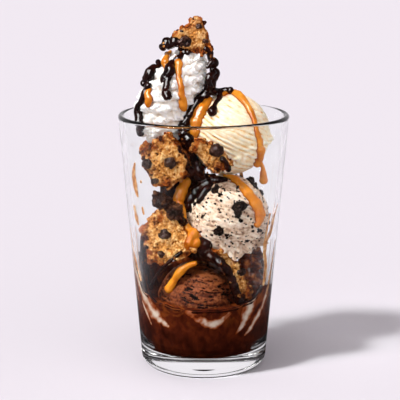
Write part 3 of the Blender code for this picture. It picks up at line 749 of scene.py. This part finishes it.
# painted shade: low points of the lumps take the near-black end of the ramp
tone = addNode(tree, "ValToRGB", {"Fac": depth.outputs["Fac"]}, [(0.1, "080302"), (0.5, "24100a"), (0.9, "57341f")])
shader = addNode(tree, "BsdfPrincipled", {"Base Color": tone.outputs["Color"], "Roughness": 0.6,
                                          "Specular IOR Level": 0.06})
addNode(tree, "OutputMaterial", {"Surface": shader.outputs[0]})
for node, seed in (("brownie_upper", 11), ("brownie_lower", 12)):
    crumb = nubbed(node, "crumbly_" + node, seed, 22, (1.0, 2.2))
    remesh(crumb, 0.30, 1)
    sculpt(crumb, brownieShape, ["depth"])
    finishPiece(crumb, brownieCrumb, "brownie", node)

# Fudge between the pieces
column = mergedCopy("fudge_column", "fudge_between_the_scoops")
remesh(column, 0.6, 6)
sculpt(column, lambda place, normal: 1.2 * grain(place, 6, 91) + 0.5 * grain(place, 2.4, 92))
finishPiece(column, fudgeSauce, "fudge_sauce", "fudge_column")
print("fudge is in")


# Sauce, chips and crumbs land on the pieces above
def middleOf(node):
    low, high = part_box(node)
    return (low + high) / 2


bpy.context.view_layer.update()
graph = bpy.context.evaluated_depsgraph_get()
standsFor = {item["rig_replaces"][0]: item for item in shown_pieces() if "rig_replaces" in item}
skins = {node: BVHTree.FromObject(item, graph) for node, item in standsFor.items()}


def smoothRun(points, step=0.5):  # a smooth line through points of x, y, z and radius in mm
    rows = [Vector(point) for point in points]
    line = []
    for i, (b, c) in enumerate(zip(rows, rows[1:])):
        a, d = rows[max(i - 1, 0)], rows[min(i + 2, len(rows) - 1)]
        count = max(2, int((c.xyz - b.xyz).length / step))
        for k in range(count):
            t = k / count
            line.append(0.5 * (2 * b + (c - a) * t + (2 * a - 5 * b + 4 * c - d) * t * t
                               + (3 * b - a - 3 * c + d) * t ** 3))
    return line + [rows[-1]]


def layLine(points, node, lift):  # lays a run on its node's piece, or leaves it hanging where node is None
    line = smoothRun(points)
    if node:
        middle = middleOf(node) / mm
        for point in line:
            spot, normal, face, gap = skins[node].find_nearest((point.xyz + middle) * mm)
            point.xyz = spot / mm + normal * lift * point.w
    for turn in range(3):
        line = [line[0]] + [(a + 2 * b + c) / 4 for a, b, c in zip(line, line[1:], line[2:])] + [line[-1]]
    ends = []
    for end, inner in ((line[0], line[1]), (line[-1], line[-2])):  # rounded ends
        out = (end.xyz - inner.xyz).normalized() * end.w
        ends.append([Vector((*(end.xyz + out * math.sin(a)), end.w * math.cos(a))) for a in (1.45, 1.1, 0.7, 0.35)])
    return ends[0] + line + ends[1][::-1]


def pour(name, runs, lift, wobble, voxel, smooth):
    thread = bpy.data.curves.new(name, "CURVE")
    thread.dimensions = "3D"
    thread.bevel_depth = 1.0
    thread.bevel_resolution = 3
    thread.use_fill_caps = True
    for node, lines in runs.items():
        for points in lines:
            line = layLine(points, node, lift)
            spline = thread.splines.new("POLY")
            spline.points.add(len(line) - 1)
            for i, (point, at) in enumerate(zip(spline.points, line)):
                point.co = (*(at.xyz * mm), 1)
                point.radius = at.w * mm * (1 + wobble * grain(at.xyz * mm, 2.6, 101))
    item = bpy.data.objects.new(name, thread)
    scene.collection.objects.link(item)
    pickOnly(item)
    bpy.ops.object.convert(target="MESH")
    item = bpy.context.view_layer.objects.active
    item.name = item.data.name = name
    remesh(item, voxel, smooth)
    return item


# runs of sauce as x, y, z and radius in mm, from the middle of the node they lie on
fudgeRuns = {
    "whipped_cream": (
        ((8.4, -9.8, 25.7, 1.7), (5.8, -6.5, 21.4, 1.7), (3.4, -9.0, 18.6, 1.7), (0.2, -10.5, 15.7, 2.3),
         (-1.6, -13.5, 11.7, 2.7), (-4.1, -14.3, 8.7, 2.0)),
        ((-0.6, -13.8, 11.7, 2.1), (-1.9, -15.2, 7.8, 1.9), (-2.6, -17.6, 4.0, 2.1), (-2.7, -17.2, 1.0, 2.8)),
        ((-8.8, -5.5, 18.1, 1.7), (-7.2, -5.5, 15.6, 1.1), (-9.7, -6.5, 13.8, 2.4), (-11.2, -8.5, 10.6, 2.9),
         (-13.2, -6.5, 7.0, 3.1), (-14.6, -7.5, 6.5, 2.1)),
        ((-12.1, -11.2, 5.2, 2.0), (-13.7, -10.5, 2.0, 1.7), (-15.0, -10.7, -0.6, 1.6), (-16.7, -9.5, -4.0, 1.8),
         (-17.8, -7.8, -7.3, 2.2), (-17.4, -7.6, -11.0, 2.6), (-16.0, -9.3, -14.5, 2.6), (-16.3, -6.7, -19.5, 2.2)),
    ),
    "vanilla_scoop": (
        ((-4.6, -3.2, 21.7, 1.9), (-5.9, -7.9, 19.4, 1.6), (-7.9, -11.4, 16.3, 1.4), (-8.8, -14.1, 13.3, 2.5)),
    ),
    "cookies_cream_scoop": (
        ((-1.2, -7.9, 22.9, 1.5), (-5.6, -7.9, 22.1, 2.2), (-11.8, -7.9, 19.4, 2.8), (-16.3, -7.4, 14.8, 3.0),
         (-18.9, -6.9, 9.5, 2.6), (-19.7, -6.9, 5.2, 2.1)),
        ((-8.8, -8.9, 20.9, 1.6), (-11.8, -11.9, 16.6, 1.9), (-14.0, -12.9, 13.0, 2.0), (-15.0, -13.0, 10.5, 1.5)),
    ),
    "cookie_centre": (((5.3, -5.3, -1.7, 1.4), (7.4, -5.7, -4.2, 1.8), (7.9, -4.4, -7.1, 1.7)),),
    None: (
        ((-20.6, -1.5, 171.8, 2.7), (-18.6, -2.5, 173.4, 3.4), (-16.6, -3.0, 172.6, 2.4), (-14.8, -4.0, 174.6, 2.9),
         (-12.6, -5.0, 174.2, 2.2)),
        ((1.2, -4.0, 170.5, 1.8), (3.2, -2.0, 168.2, 2.1), (3.4, -1.0, 165.2, 1.8), (5.4, 0, 163.1, 2.6),
         (4.4, 0, 160.2, 1.6), (6.2, 0, 157.2, 2.7), (5.4, -1.0, 154.4, 2.0), (3.2, -1.0, 152.0, 3.4)),
        ((3.8, -4.0, 163.6, 1.6), (2.0, -5.0, 161.4, 1.2)),
        ((5.0, -3.0, 158.0, 1.8), (2.4, -5.0, 155.2, 2.0), (3.6, -5.0, 151.4, 1.6)),
        ((5.4, 0, 154.4, 2.4), (2.8, -1.0, 150.7, 3.5), (4.9, 1.0, 147.9, 2.4), (8.6, 3.0, 148.0, 1.7),
         (11.8, 3.0, 148.3, 1.4), (14.0, 2.0, 148.2, 2.1)),
        ((2.8, 0, 148.3, 2.6), (-0.9, -1.0, 144.9, 2.8), (-3.8, -3.4, 141.8, 2.8), (-6.6, -4.4, 137.2, 2.8),
         (-9.2, -4.9, 133.1, 2.8), (-11.3, -4.4, 129.3, 2.6)),
        ((-13.2, -17.0, 121.0, 1.8), (-11.1, -17.0, 116.5, 2.2), (-8.6, -15.0, 111.0, 2.4), (-5.4, -13.0, 106.5, 2.8),
         (0.7, -12.0, 104.6, 2.4), (5.0, -12.0, 105.2, 1.8)),
        ((-3.6, -15.0, 112.5, 1.6), (-2.4, -16.0, 109.0, 2.0), (-0.6, -15.0, 106.6, 1.6)),
        ((-10.3, -8.0, 127.3, 3.2), (-7.2, -9.0, 123.0, 2.8), (-7.2, -8.5, 118.0, 2.4)),
        ((-12.3, -20.8, 85.3, 1.9), (-9.3, -17.0, 80.5, 2.1), (-6.6, -16.5, 77.8, 1.9)),
        ((-1.9, -19.3, 73.2, 3.0), (1.2, -21.5, 72.0, 3.2), (0.2, -20.5, 67.0, 3.6), (-3.1, -17.0, 63.5, 3.2),
         (1.7, -20.0, 63.5, 2.9), (3.0, -23.5, 66.0, 2.4)),
        ((2.8, -24.0, 66.5, 2.6), (9.0, -26.0, 62.3, 2.6), (12.7, -26.0, 57.3, 2.6), (14.7, -25.5, 52.0, 2.4),
         (16.5, -25.0, 46.4, 2.2), (18.3, -23.5, 41.0, 2.3)),
        ((-11.8, -22.5, 67.0, 1.2), (-16.7, -22.0, 62.9, 1.0), (-21.7, -20.5, 57.3, 0.9), (-25.5, -18.0, 51.4, 1.0),
         (-27.0, -16.0, 46.5, 1.3)),
    ),
}
caramelRuns = {
    "whipped_cream": (
        ((-1.9, -2.3, 22.8, 1.1), (-2.6, -5.5, 19.6, 1.7), (-3.6, -7.9, 16.7, 2.4), (-2.8, -9.1, 14.5, 1.4)),
        ((4.3, -10.3, 17.5, 2.1), (3.6, -12.9, 12.6, 1.8), (4.4, -15.0, 7.7, 1.7), (5.3, -16.2, 2.7, 1.7),
         (5.9, -14.9, -1.6, 2.2), (5.7, -12.7, -4.9, 2.2)),
        ((-11.7, -11.7, 4.5, 1.1), (-12.2, -12.5, 0.9, 1.8), (-12.2, -14.3, -2.2, 2.1), (-11.6, -14.1, -4.3, 1.4)),
    ),
    "vanilla_scoop": (
        ((-4.1, -4.9, 20.6, 1.6), (-0.9, -1.5, 21.4, 2.1), (2.7, -3.1, 21.2, 2.4), (6.8, -9.1, 18.6, 2.4),
         (10.0, -13.3, 14.2, 1.9), (11.9, -14.8, 8.9, 1.5), (13.4, -16.6, 3.5, 1.6), (15.0, -15.4, -2.5, 1.9),
         (15.2, -13.0, -9.3, 2.5), (14.5, -9.2, -14.8, 2.3)),
        ((-10.9, -4.9, 17.4, 2.7), (-14.1, -8.6, 13.8, 3.7), (-16.7, -10.5, 8.8, 4.0), (-17.7, -12.1, 3.8, 3.4),
         (-19.3, -9.3, -2.0, 2.4)),
    ),
    "cookies_cream_scoop": (
        ((-1.1, -3.9, 23.9, 1.3), (3.1, -5.8, 20.8, 2.1), (7.6, -11.0, 17.3, 2.5), (10.9, -13.5, 13.4, 3.0),
         (14.1, -14.2, 8.5, 3.2), (15.4, -14.7, 3.6, 2.8), (14.5, -16.1, -0.6, 2.0)),
    ),
    None: (
        ((29.5, -6.0, 112.0, 1.2), (31.0, -5.5, 108.6, 1.1), (31.2, -5.0, 105.2, 1.8), (31.5, -4.5, 101.8, 2.3)),
        ((-9.3, -10.0, 102.0, 2.7), (-11.7, -12.0, 97.0, 3.2), (-13.1, -13.0, 92.0, 2.9), (-11.2, -16.0, 87.0, 2.2),
         (-10.4, -16.0, 83.0, 1.9), (-8.5, -18.0, 79.5, 2.1), (-5.5, -19.0, 77.0, 2.5), (-2.5, -19.5, 76.0, 2.4),
         (0.0, -20.5, 76.8, 1.7)),
        ((-5.0, -20.5, 77.0, 2.8), (-7.4, -20.5, 72.5, 3.4), (-8.0, -20.0, 68.0, 2.6), (-3.5, -21.0, 72.5, 2.6)),
        ((-4.6, -19.8, 60.6, 1.4), (-8.6, -20.0, 59.2, 2.0), (-12.4, -19.8, 55.9, 2.6), (-14.6, -18.8, 52.2, 2.0),
         (-16.4, -18.0, 49.0, 2.3), (-17.6, -17.2, 46.2, 2.7)),
    ),
}
backFrom = {"whipped_cream": 8, "vanilla_scoop": 12, "cookies_cream_scoop": 12}  # the far side is drizzled too
for runs in (fudgeRuns, caramelRuns):
    for node, behind in backFrom.items():
        turned = [tuple((-0.95 * x, -y, z, r) for x, y, z, r in points if y < -behind) for points in runs[node]]
        runs[node] += tuple(points for points in turned if len(points) > 1)
pouring = {"fudge": {"lift": 0.34, "wobble": 0.38, "voxel": 0.34, "smooth": 4},
           "caramel": {"lift": 0.16, "wobble": 0.22, "voxel": 0.34, "smooth": 4}}

fudgeDrizzle = pour("fudge_drizzle", fudgeRuns, **pouring["fudge"])
finishPiece(fudgeDrizzle, fudgeSauce, "fudge_sauce")

# Caramel: boiled sugar and cream, clear amber with a wet gloss, light passing in at thin edges
caramel = {"thick": "c66c10", "thin": "e8962e", "edge": "96460a", "depth": 1.3}
caramelSauce, tree = newMaterial("caramel sauce")
place = addNode(tree, "TexCoord")
cloud = addNode(tree, "TexNoise", {"Vector": place.outputs["Object"], "Scale": 150, "Detail": 3})
tone = addNode(tree, "ValToRGB", {"Fac": cloud.outputs["Fac"]}, [(0.35, caramel["thick"]), (0.7, caramel["thin"])])
# painted shade: the darker edge colour where the caramel meets the food
crown = addNode(tree, "Attribute", attribute_name="crown")
contactShaded = addNode(tree, "Mix", {0: crown.outputs["Fac"], 6: hexToLinear(caramel["edge"]), 7: tone.outputs["Color"]},
                data_type="RGBA")
shader = addNode(tree, "BsdfPrincipled", {
    "Base Color": contactShaded.outputs[2], "Roughness": 0.08, "IOR": 1.47, "Specular IOR Level": 0.12, "Subsurface Weight": 0.2,
    "Subsurface Radius": (1.0, 0.45, 0.12), "Subsurface Scale": 1.2 * mm})
addNode(tree, "OutputMaterial", {"Surface": shader.outputs[0]})
caramelDrizzle = pour("caramel_drizzle", caramelRuns, **pouring["caramel"])
underneath = {node: (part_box(node)[0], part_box(node)[1], skins[node]) for node in
              ("whipped_cream", "vanilla_scoop", "cookies_cream_scoop", "chocolate_scoop", "cookie_lower_left")}
layer = caramelDrizzle.data.attributes.new("crown", "FLOAT", "POINT")  # 0 where it meets the food, 1 on top; the dark edge colour there is painted shade
for vert in caramelDrizzle.data.vertices:
    gap = caramel["depth"] * mm
    for low, high, skin in underneath.values():
        if all(low[i] - gap < vert.co[i] < high[i] + gap for i in range(3)):
            spot, normal, face, distance = skin.find_nearest(vert.co, gap)
            gap = distance if spot else gap
    layer.data[vert.index].value = ease(0.1, 1.0, gap / mm / caramel["depth"])
finishPiece(caramelDrizzle, caramelSauce, "caramel_sauce")
print("sauce is drizzled")


# Thin films and beads against the glass: degrees from the front, height and radius in mm
films = {
    "into": 0.12, "thick": 0.35, "fine": 0.30,
    "smears": (((-58, 114, 0.6), (-61, 107.8, 1.5), (-60, 101, 1.5), (-58, 96.6, 0.6)),
               ((-65, 90.3, 0.8), (-63, 84.7, 1.3), (-61, 81.2, 0.6)), ((-53, 91.1, 0.6), (-52, 88, 0.6)),
               ((-52, 105.3, 0.6), (-52, 104.7, 0.6)),
               ((74, 90.2, 0.6), (68, 84, 1.0), (65, 76.9, 1.3), (59, 72.2, 1.0), (59, 66.9, 0.7)),
               ((61, 86.8, 0.6), (58, 77.8, 0.8), (57, 68.3, 1.0), (62, 57.7, 1.3), (61, 48.5, 1.0)),
               ((78, 70, 0.8), (75, 60, 1.4), (72, 50, 1.6), (68, 42, 1.0)),
               ((-80, 76, 0.8), (-78, 66, 1.2), (-72, 58, 1.3), (-66, 50, 0.8)),
               ((150, 104, 0.7), (146, 96, 1.4), (150, 88, 0.8)), ((205, 92, 0.7), (210, 82, 1.3), (214, 74, 0.7)),
               ((172, 78, 0.7), (176, 68, 1.2), (173, 60, 0.8))),
}


def againstWall(runs):  # runs of angle, height and radius, turned to places on the inner wall
    return tuple(tuple((math.sin(math.radians(a)) * (innerRadius(z) - 0.2), -math.cos(math.radians(a))
                        * (innerRadius(z) - 0.2), z, r) for a, z, r in points) for points in runs)


smear = pour("smeared_film", {None: againstWall(films["smears"])}, 0, 0.5, films["fine"], 1)
for vert in smear.data.vertices:  # flattened to a film that reaches just into the wall
    x, y, z = vert.co / mm
    radius = math.hypot(x, y)
    depth = min(max(radius - innerRadius(z), -films["thick"]), films["into"])
    vert.co *= Vector(((innerRadius(z) + depth) / radius, (innerRadius(z) + depth) / radius, 1))

# Caramel and melted ice cream dried to a thin film on the glass
driedCaramel, tree = newMaterial("dried caramel film")
place = addNode(tree, "TexCoord")
cloud = addNode(tree, "TexNoise", {"Vector": place.outputs["Object"], "Scale": 420, "Detail": 4})
tone = addNode(tree, "ValToRGB", {"Fac": cloud.outputs["Fac"]}, [(0.35, "9a5a24"), (0.52, "c98c50"), (0.70, "e2c096")])
shader = addNode(tree, "BsdfPrincipled", {"Base Color": tone.outputs["Color"], "Roughness": 0.4,
                                          "Specular IOR Level": 0.1})
addNode(tree, "OutputMaterial", {"Surface": shader.outputs[0]})
finishPiece(smear, driedCaramel, "caramel_sauce")

edge = tuple((a, pool["level"] + climb(a) - 0.9, 1.0) for a in range(-100, 101, 2))
bead = pour("fudge_edge", {None: tuple(tuple((x * 0.985, y * 0.985, z, r) for x, y, z, r in run)
                                       for run in againstWall((edge,)))}, 0, 0.4, films["fine"], 2)
for vert in bead.data.vertices:
    x, y, z = vert.co / mm
    radius = math.hypot(x, y)
    if radius > innerRadius(z) + films["into"]:
        vert.co *= Vector(((innerRadius(z) + films["into"]) / radius, (innerRadius(z) + films["into"]) / radius, 1))
finishPiece(bead, fudgeSauce, "fudge_sauce")

# Chocolate ice cream and fudge melted together beside the scoops
meltedRuns = {None: (
    ((24.0, -6.0, 73.0, 2.6), (27.0, -6.0, 68.0, 2.8), (28.0, -5.0, 61.0, 3.0), (26.0, -9.0, 55.0, 3.4),
     (28.0, -8.0, 49.0, 3.0)),
    ((22.0, -10.0, 60.0, 3.0), (24.0, -13.0, 53.0, 3.4), (26.0, -12.0, 47.0, 3.2), (21.0, -16.0, 46.0, 2.8),
     (23.0, -17.0, 42.0, 2.8)),
    ((20.0, -14.0, 66.0, 1.6), (23.0, -13.0, 63.0, 2.2), (21.0, -15.0, 57.0, 1.8)),
)}
melted = pour("melted_chocolate_lumps", meltedRuns, 0, 0.9, 0.40, 3)
sculpt(melted, lambda place, normal: 1.0 * grain(place, 3.2, 131) + 0.5 * grain(place, 1.5, 132))
meltedChocolate, tree = newMaterial("melted chocolate ice cream")
place = addNode(tree, "TexCoord")
cloud = addNode(tree, "TexNoise", {"Vector": place.outputs["Object"], "Scale": 260, "Detail": 4})
tone = addNode(tree, "ValToRGB", {"Fac": cloud.outputs["Fac"]}, [(0.32, "240904"), (0.5, "5c2410"), (0.66, "a05a28")])
shader = addNode(tree, "BsdfPrincipled", {"Base Color": tone.outputs["Color"], "Roughness": 0.18,
                                          "Specular IOR Level": 0.08})
addNode(tree, "OutputMaterial", {"Surface": shader.outputs[0]})
finishPiece(melted, meltedChocolate, "fudge_sauce")


# Chocolate chips, set in the cookies: the node, shares of its box across and up, radius in mm, side
chips = {
    "sink": 0.1, "flat": 0.62,
    "front": (("cookie_top", 0.29, 0.36, 3.0), ("cookie_top", 0.66, 0.73, 1.3), ("cookie_top", 0.82, 0.36, 1.2),
              ("cookie_top", 0.93, 0.42, 1.0), ("cookie_top", 0.20, 0.62, 0.9), ("cookie_upper_left", 0.57, 0.48, 2.8),
              ("cookie_upper_left", 0.08, 0.46, 2.4), ("cookie_upper_left", 0.24, 0.14, 1.5),
              ("cookie_lower_left", 0.41, 0.54, 2.7), ("cookie_lower_left", 0.33, 0.20, 1.7),
              ("cookie_centre", 0.60, 0.66, 3.1), ("cookie_lower_right", 0.78, 0.55, 1.9),
              ("cookie_under_cream", 0.35, 0.80, 2.4)),
    "back": (("cookie_top", 0.45, 0.45, 2.2), ("cookie_top", 0.70, 0.25, 1.3), ("cookie_upper_left", 0.45, 0.60, 2.6),
             ("cookie_upper_left", 0.60, 0.25, 1.5), ("cookie_lower_left", 0.50, 0.40, 2.6),
             ("cookie_lower_left", 0.30, 0.70, 1.6), ("cookie_lower_right", 0.50, 0.45, 2.0),
             ("cookie_under_cream", 0.60, 0.40, 2.4), ("cookie_centre", 0.45, 0.50, 2.0)),
}


def chipShape(place, normal):
    lumps = 0.7 * grain(place, 2.4, 111) + 0.4 * grain(place, 1.1, 112)
    return 1.1 * lumps, 0.5 + 0.6 * lumps


chipPieces = []
for side, aim in (("front", 1), ("back", -1)):
    for node, across, up, radius in chips[side]:
        low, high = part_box(node)
        start = Vector((low.x + (high.x - low.x) * across, low.y - 0.05 if aim > 0 else high.y + 0.05,
                        low.z + (high.z - low.z) * up))
        spot, normal, face, gap = skins[node].ray_cast(start, Vector((0, aim, 0)))
        if spot is None:
            spot, normal, face, gap = skins[node].find_nearest(start + Vector((0, aim * 0.06, 0)))
        turn = (normal + Vector((0, -0.5 * aim, 0))).to_track_quat("Z", "Y").to_euler()
        radius *= 1.28
        chipPieces.append(addBall(spot - normal * chips["sink"] * radius * mm, radius * mm, 4,
                                  squash=(1, 0.86, chips["flat"]), turn=[math.degrees(a) for a in turn]))
chipItem = joinAll(chipPieces, "dark_chocolate_chips")
sculpt(chipItem, chipShape, ["depth"])

# Dark chocolate, set: dull satin brown; the ramp by height paints shade in the hollows and a paler tone on the lumps
darkChocolate, tree = newMaterial("dark chocolate")
depth = addNode(tree, "Attribute", attribute_name="depth")
tone = addNode(tree, "ValToRGB", {"Fac": depth.outputs["Fac"]}, [(0.1, "0a0402"), (0.5, "24110b"), (0.9, "452a1e")])
shader = addNode(tree, "BsdfPrincipled", {"Base Color": tone.outputs["Color"], "Roughness": 0.36,
                                          "Specular IOR Level": 0.08})
addNode(tree, "OutputMaterial", {"Surface": shader.outputs[0]})
finishPiece(chipItem, darkChocolate, "chocolate_chip_cookie")


# Dark wafer bits in the cookies and cream scoop: degrees round from the front, degrees up, radius in mm
bits = {
    "large": ((-26, 52, 2.4), (19, 22, 3.8), (-13, -6, 3.2), (99, 56, 2.1), (86, 45, 2.4), (85, 34, 1.9),
              (45, -11, 1.6), (78, 5, 1.4), (72, -6, 1.4), (-64, 14, 1.3), (-57, 24, 1.2), (-36, 9, 1.2),
              (-1, -13, 1.3), (-14, 42, 1.2), (24, 52, 1.1), (-27, 74, 1.1), (17, 5, 1.1), (28, -26, 1.1),
              (160, 20, 3.2), (205, -8, 2.8), (140, -12, 2.0), (230, 30, 2.4), (185, 48, 2.0), (255, 5, 1.6),
              (120, 15, 1.5), (175, -25, 1.6)),
    "specks": 760, "speckSize": (0.26, 0.85), "seed": 7, "flat": 0.6,
}


def onBall(node, middle, around, up):  # where a line out from the middle leaves the piece
    a, b = math.radians(around), math.radians(up)
    out = Vector((math.sin(a) * math.cos(b), -math.cos(a) * math.cos(b), math.sin(b)))
    spot, normal, face, gap = skins[node].ray_cast(middle + out * 60 * mm, -out)
    return spot, out


draw = random.Random(bits["seed"])
bitPieces = []
for around, up, radius in bits["large"]:
    spot, out = onBall("cookies_cream_scoop", creamMiddle, around, up)
    radius *= 1.3
    for lump in range(6):  # each bit is broken lumps run together
        shift = Vector([draw.uniform(-0.45, 0.45) * radius * mm for axis in range(3)])
        bitPieces.append(addBall(spot - out * 0.1 * radius * mm + shift, radius * draw.uniform(0.5, 0.8) * mm, 1,
                                 squash=(1, draw.uniform(0.5, 1), 0.7), turn=[draw.uniform(0, 180) for _ in range(3)]))
bitItem = joinAll(bitPieces, "chocolate_wafer_bits")
remesh(bitItem, 0.24)


def bitShape(place, normal):
    lumps = 0.6 * grain(place, 1.5, 121) + 0.6 * grain(place, 0.7, 122)
    return 0.8 * lumps, 0.5 + 0.6 * lumps


sculpt(bitItem, bitShape, ["depth"])

# Chocolate wafer: black cocoa biscuit, dry and dull
waferCrumb, tree = newMaterial("black cocoa wafer")
place = addNode(tree, "TexCoord")
fleck = addNode(tree, "TexNoise", {"Vector": place.outputs["Object"], "Scale": 900, "Detail": 3})
tone = addNode(tree, "ValToRGB", {"Fac": fleck.outputs["Fac"]}, [(0.35, "080302"), (0.6, "1a0e09"), (0.8, "3a2418")])
shader = addNode(tree, "BsdfPrincipled", {"Base Color": tone.outputs["Color"], "Roughness": 0.6,
                                          "Specular IOR Level": 0.05})
addNode(tree, "OutputMaterial", {"Surface": shader.outputs[0]})
finishPiece(bitItem, waferCrumb, "cookies_and_cream_ice_cream")

bpy.ops.object.select_all(action="DESELECT")
bpy.ops.mesh.primitive_ico_sphere_add(subdivisions=1, radius=1)
speck = bpy.context.view_layer.objects.active
speckPieces = []
while len(speckPieces) < bits["specks"]:
    around, up = draw.uniform(0, 360), math.degrees(math.asin(draw.uniform(-0.93, 0.97)))
    spot, out = onBall("cookies_cream_scoop", creamMiddle, around, up)
    size = bits["speckSize"][0] + (bits["speckSize"][1] - bits["speckSize"][0]) * draw.random() ** 2.2
    if spot is None:
        continue
    mesh = speck.data.copy()
    scale = Matrix.Diagonal((size * draw.uniform(0.7, 1.5) * mm, size * draw.uniform(0.6, 1.1) * mm,
                             size * bits["flat"] * mm, 1))
    spin = Matrix.Rotation(draw.uniform(0, math.tau), 4, "Z")
    mesh.transform(Matrix.Translation(spot) @ out.to_track_quat("Z", "Y").to_matrix().to_4x4() @ spin @ scale)
    item = bpy.data.objects.new("speck", mesh)
    scene.collection.objects.link(item)
    speckPieces.append(item)
bpy.data.objects.remove(speck)
finishPiece(joinAll(speckPieces, "chocolate_wafer_specks"), waferCrumb, "cookies_and_cream_ice_cream")
print("chips and bits are scattered")


# Cookie crumbs, fallen on the sauce near the cookies
crumbs = {"count": 150, "size": (0.35, 1.0), "near": 17, "nubs": 34, "nubSize": (0.7, 1.6), "seed": 31}
draw = random.Random(crumbs["seed"])
spots = [vert for item in (fudgeDrizzle, column) for vert in item.data.vertices]
cookieMiddles = [middleOf(node) for node in cookies["pieces"]]
crumbPieces = []
while len(crumbPieces) < crumbs["count"]:
    vert = draw.choice(spots)
    if min((vert.co - middle).length for middle in cookieMiddles) > crumbs["near"] * mm:
        continue
    size = draw.uniform(*crumbs["size"])
    crumbPieces.append(addBall(vert.co, size * mm, 2, squash=(1, draw.uniform(0.6, 1), draw.uniform(0.5, 0.9)),
                               turn=[draw.uniform(0, 180) for _ in range(3)]))
for node in cookies["pieces"]:  # darker baked nubs round the edges of each cookie
    low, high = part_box(node)
    skin = standsFor[node].data
    placed = 0
    while placed < crumbs["nubs"]:
        vert = skin.vertices[draw.randrange(len(skin.vertices))]
        across, up = ((2 * vert.co[i] - low[i] - high[i]) / (high[i] - low[i]) for i in (0, 2))
        if math.hypot(across, up) < 0.8 or abs(vert.normal.y) > 0.8 or vert.co.z > high.z - 1.6 * mm:
            continue
        placed += 1
        crumbPieces.append(addBall(vert.co, draw.uniform(*crumbs["nubSize"]) * mm, 3,
                                   squash=(1, draw.uniform(0.6, 1), draw.uniform(0.6, 0.9)),
                                   turn=[draw.uniform(0, 180) for _ in range(3)]))
crumbItem = joinAll(crumbPieces, "cookie_crumbs")


def crumbShape(place, normal):
    lumps = 0.5 * grain(place, 0.7, 141) + 0.5 * grain(place, 1.6, 142)
    dark = ease(-0.45, 0.15, grain(place, 4, 143))
    return 0.5 * lumps, 0.4 + 0.6 * dark, 0.44 - 0.34 * dark + 0.5 * lumps


sculpt(crumbItem, crumbShape, ["crust", "depth"])
finishPiece(crumbItem, bakedCookie, "chocolate_chip_cookie")
print("crumbs are dropped")
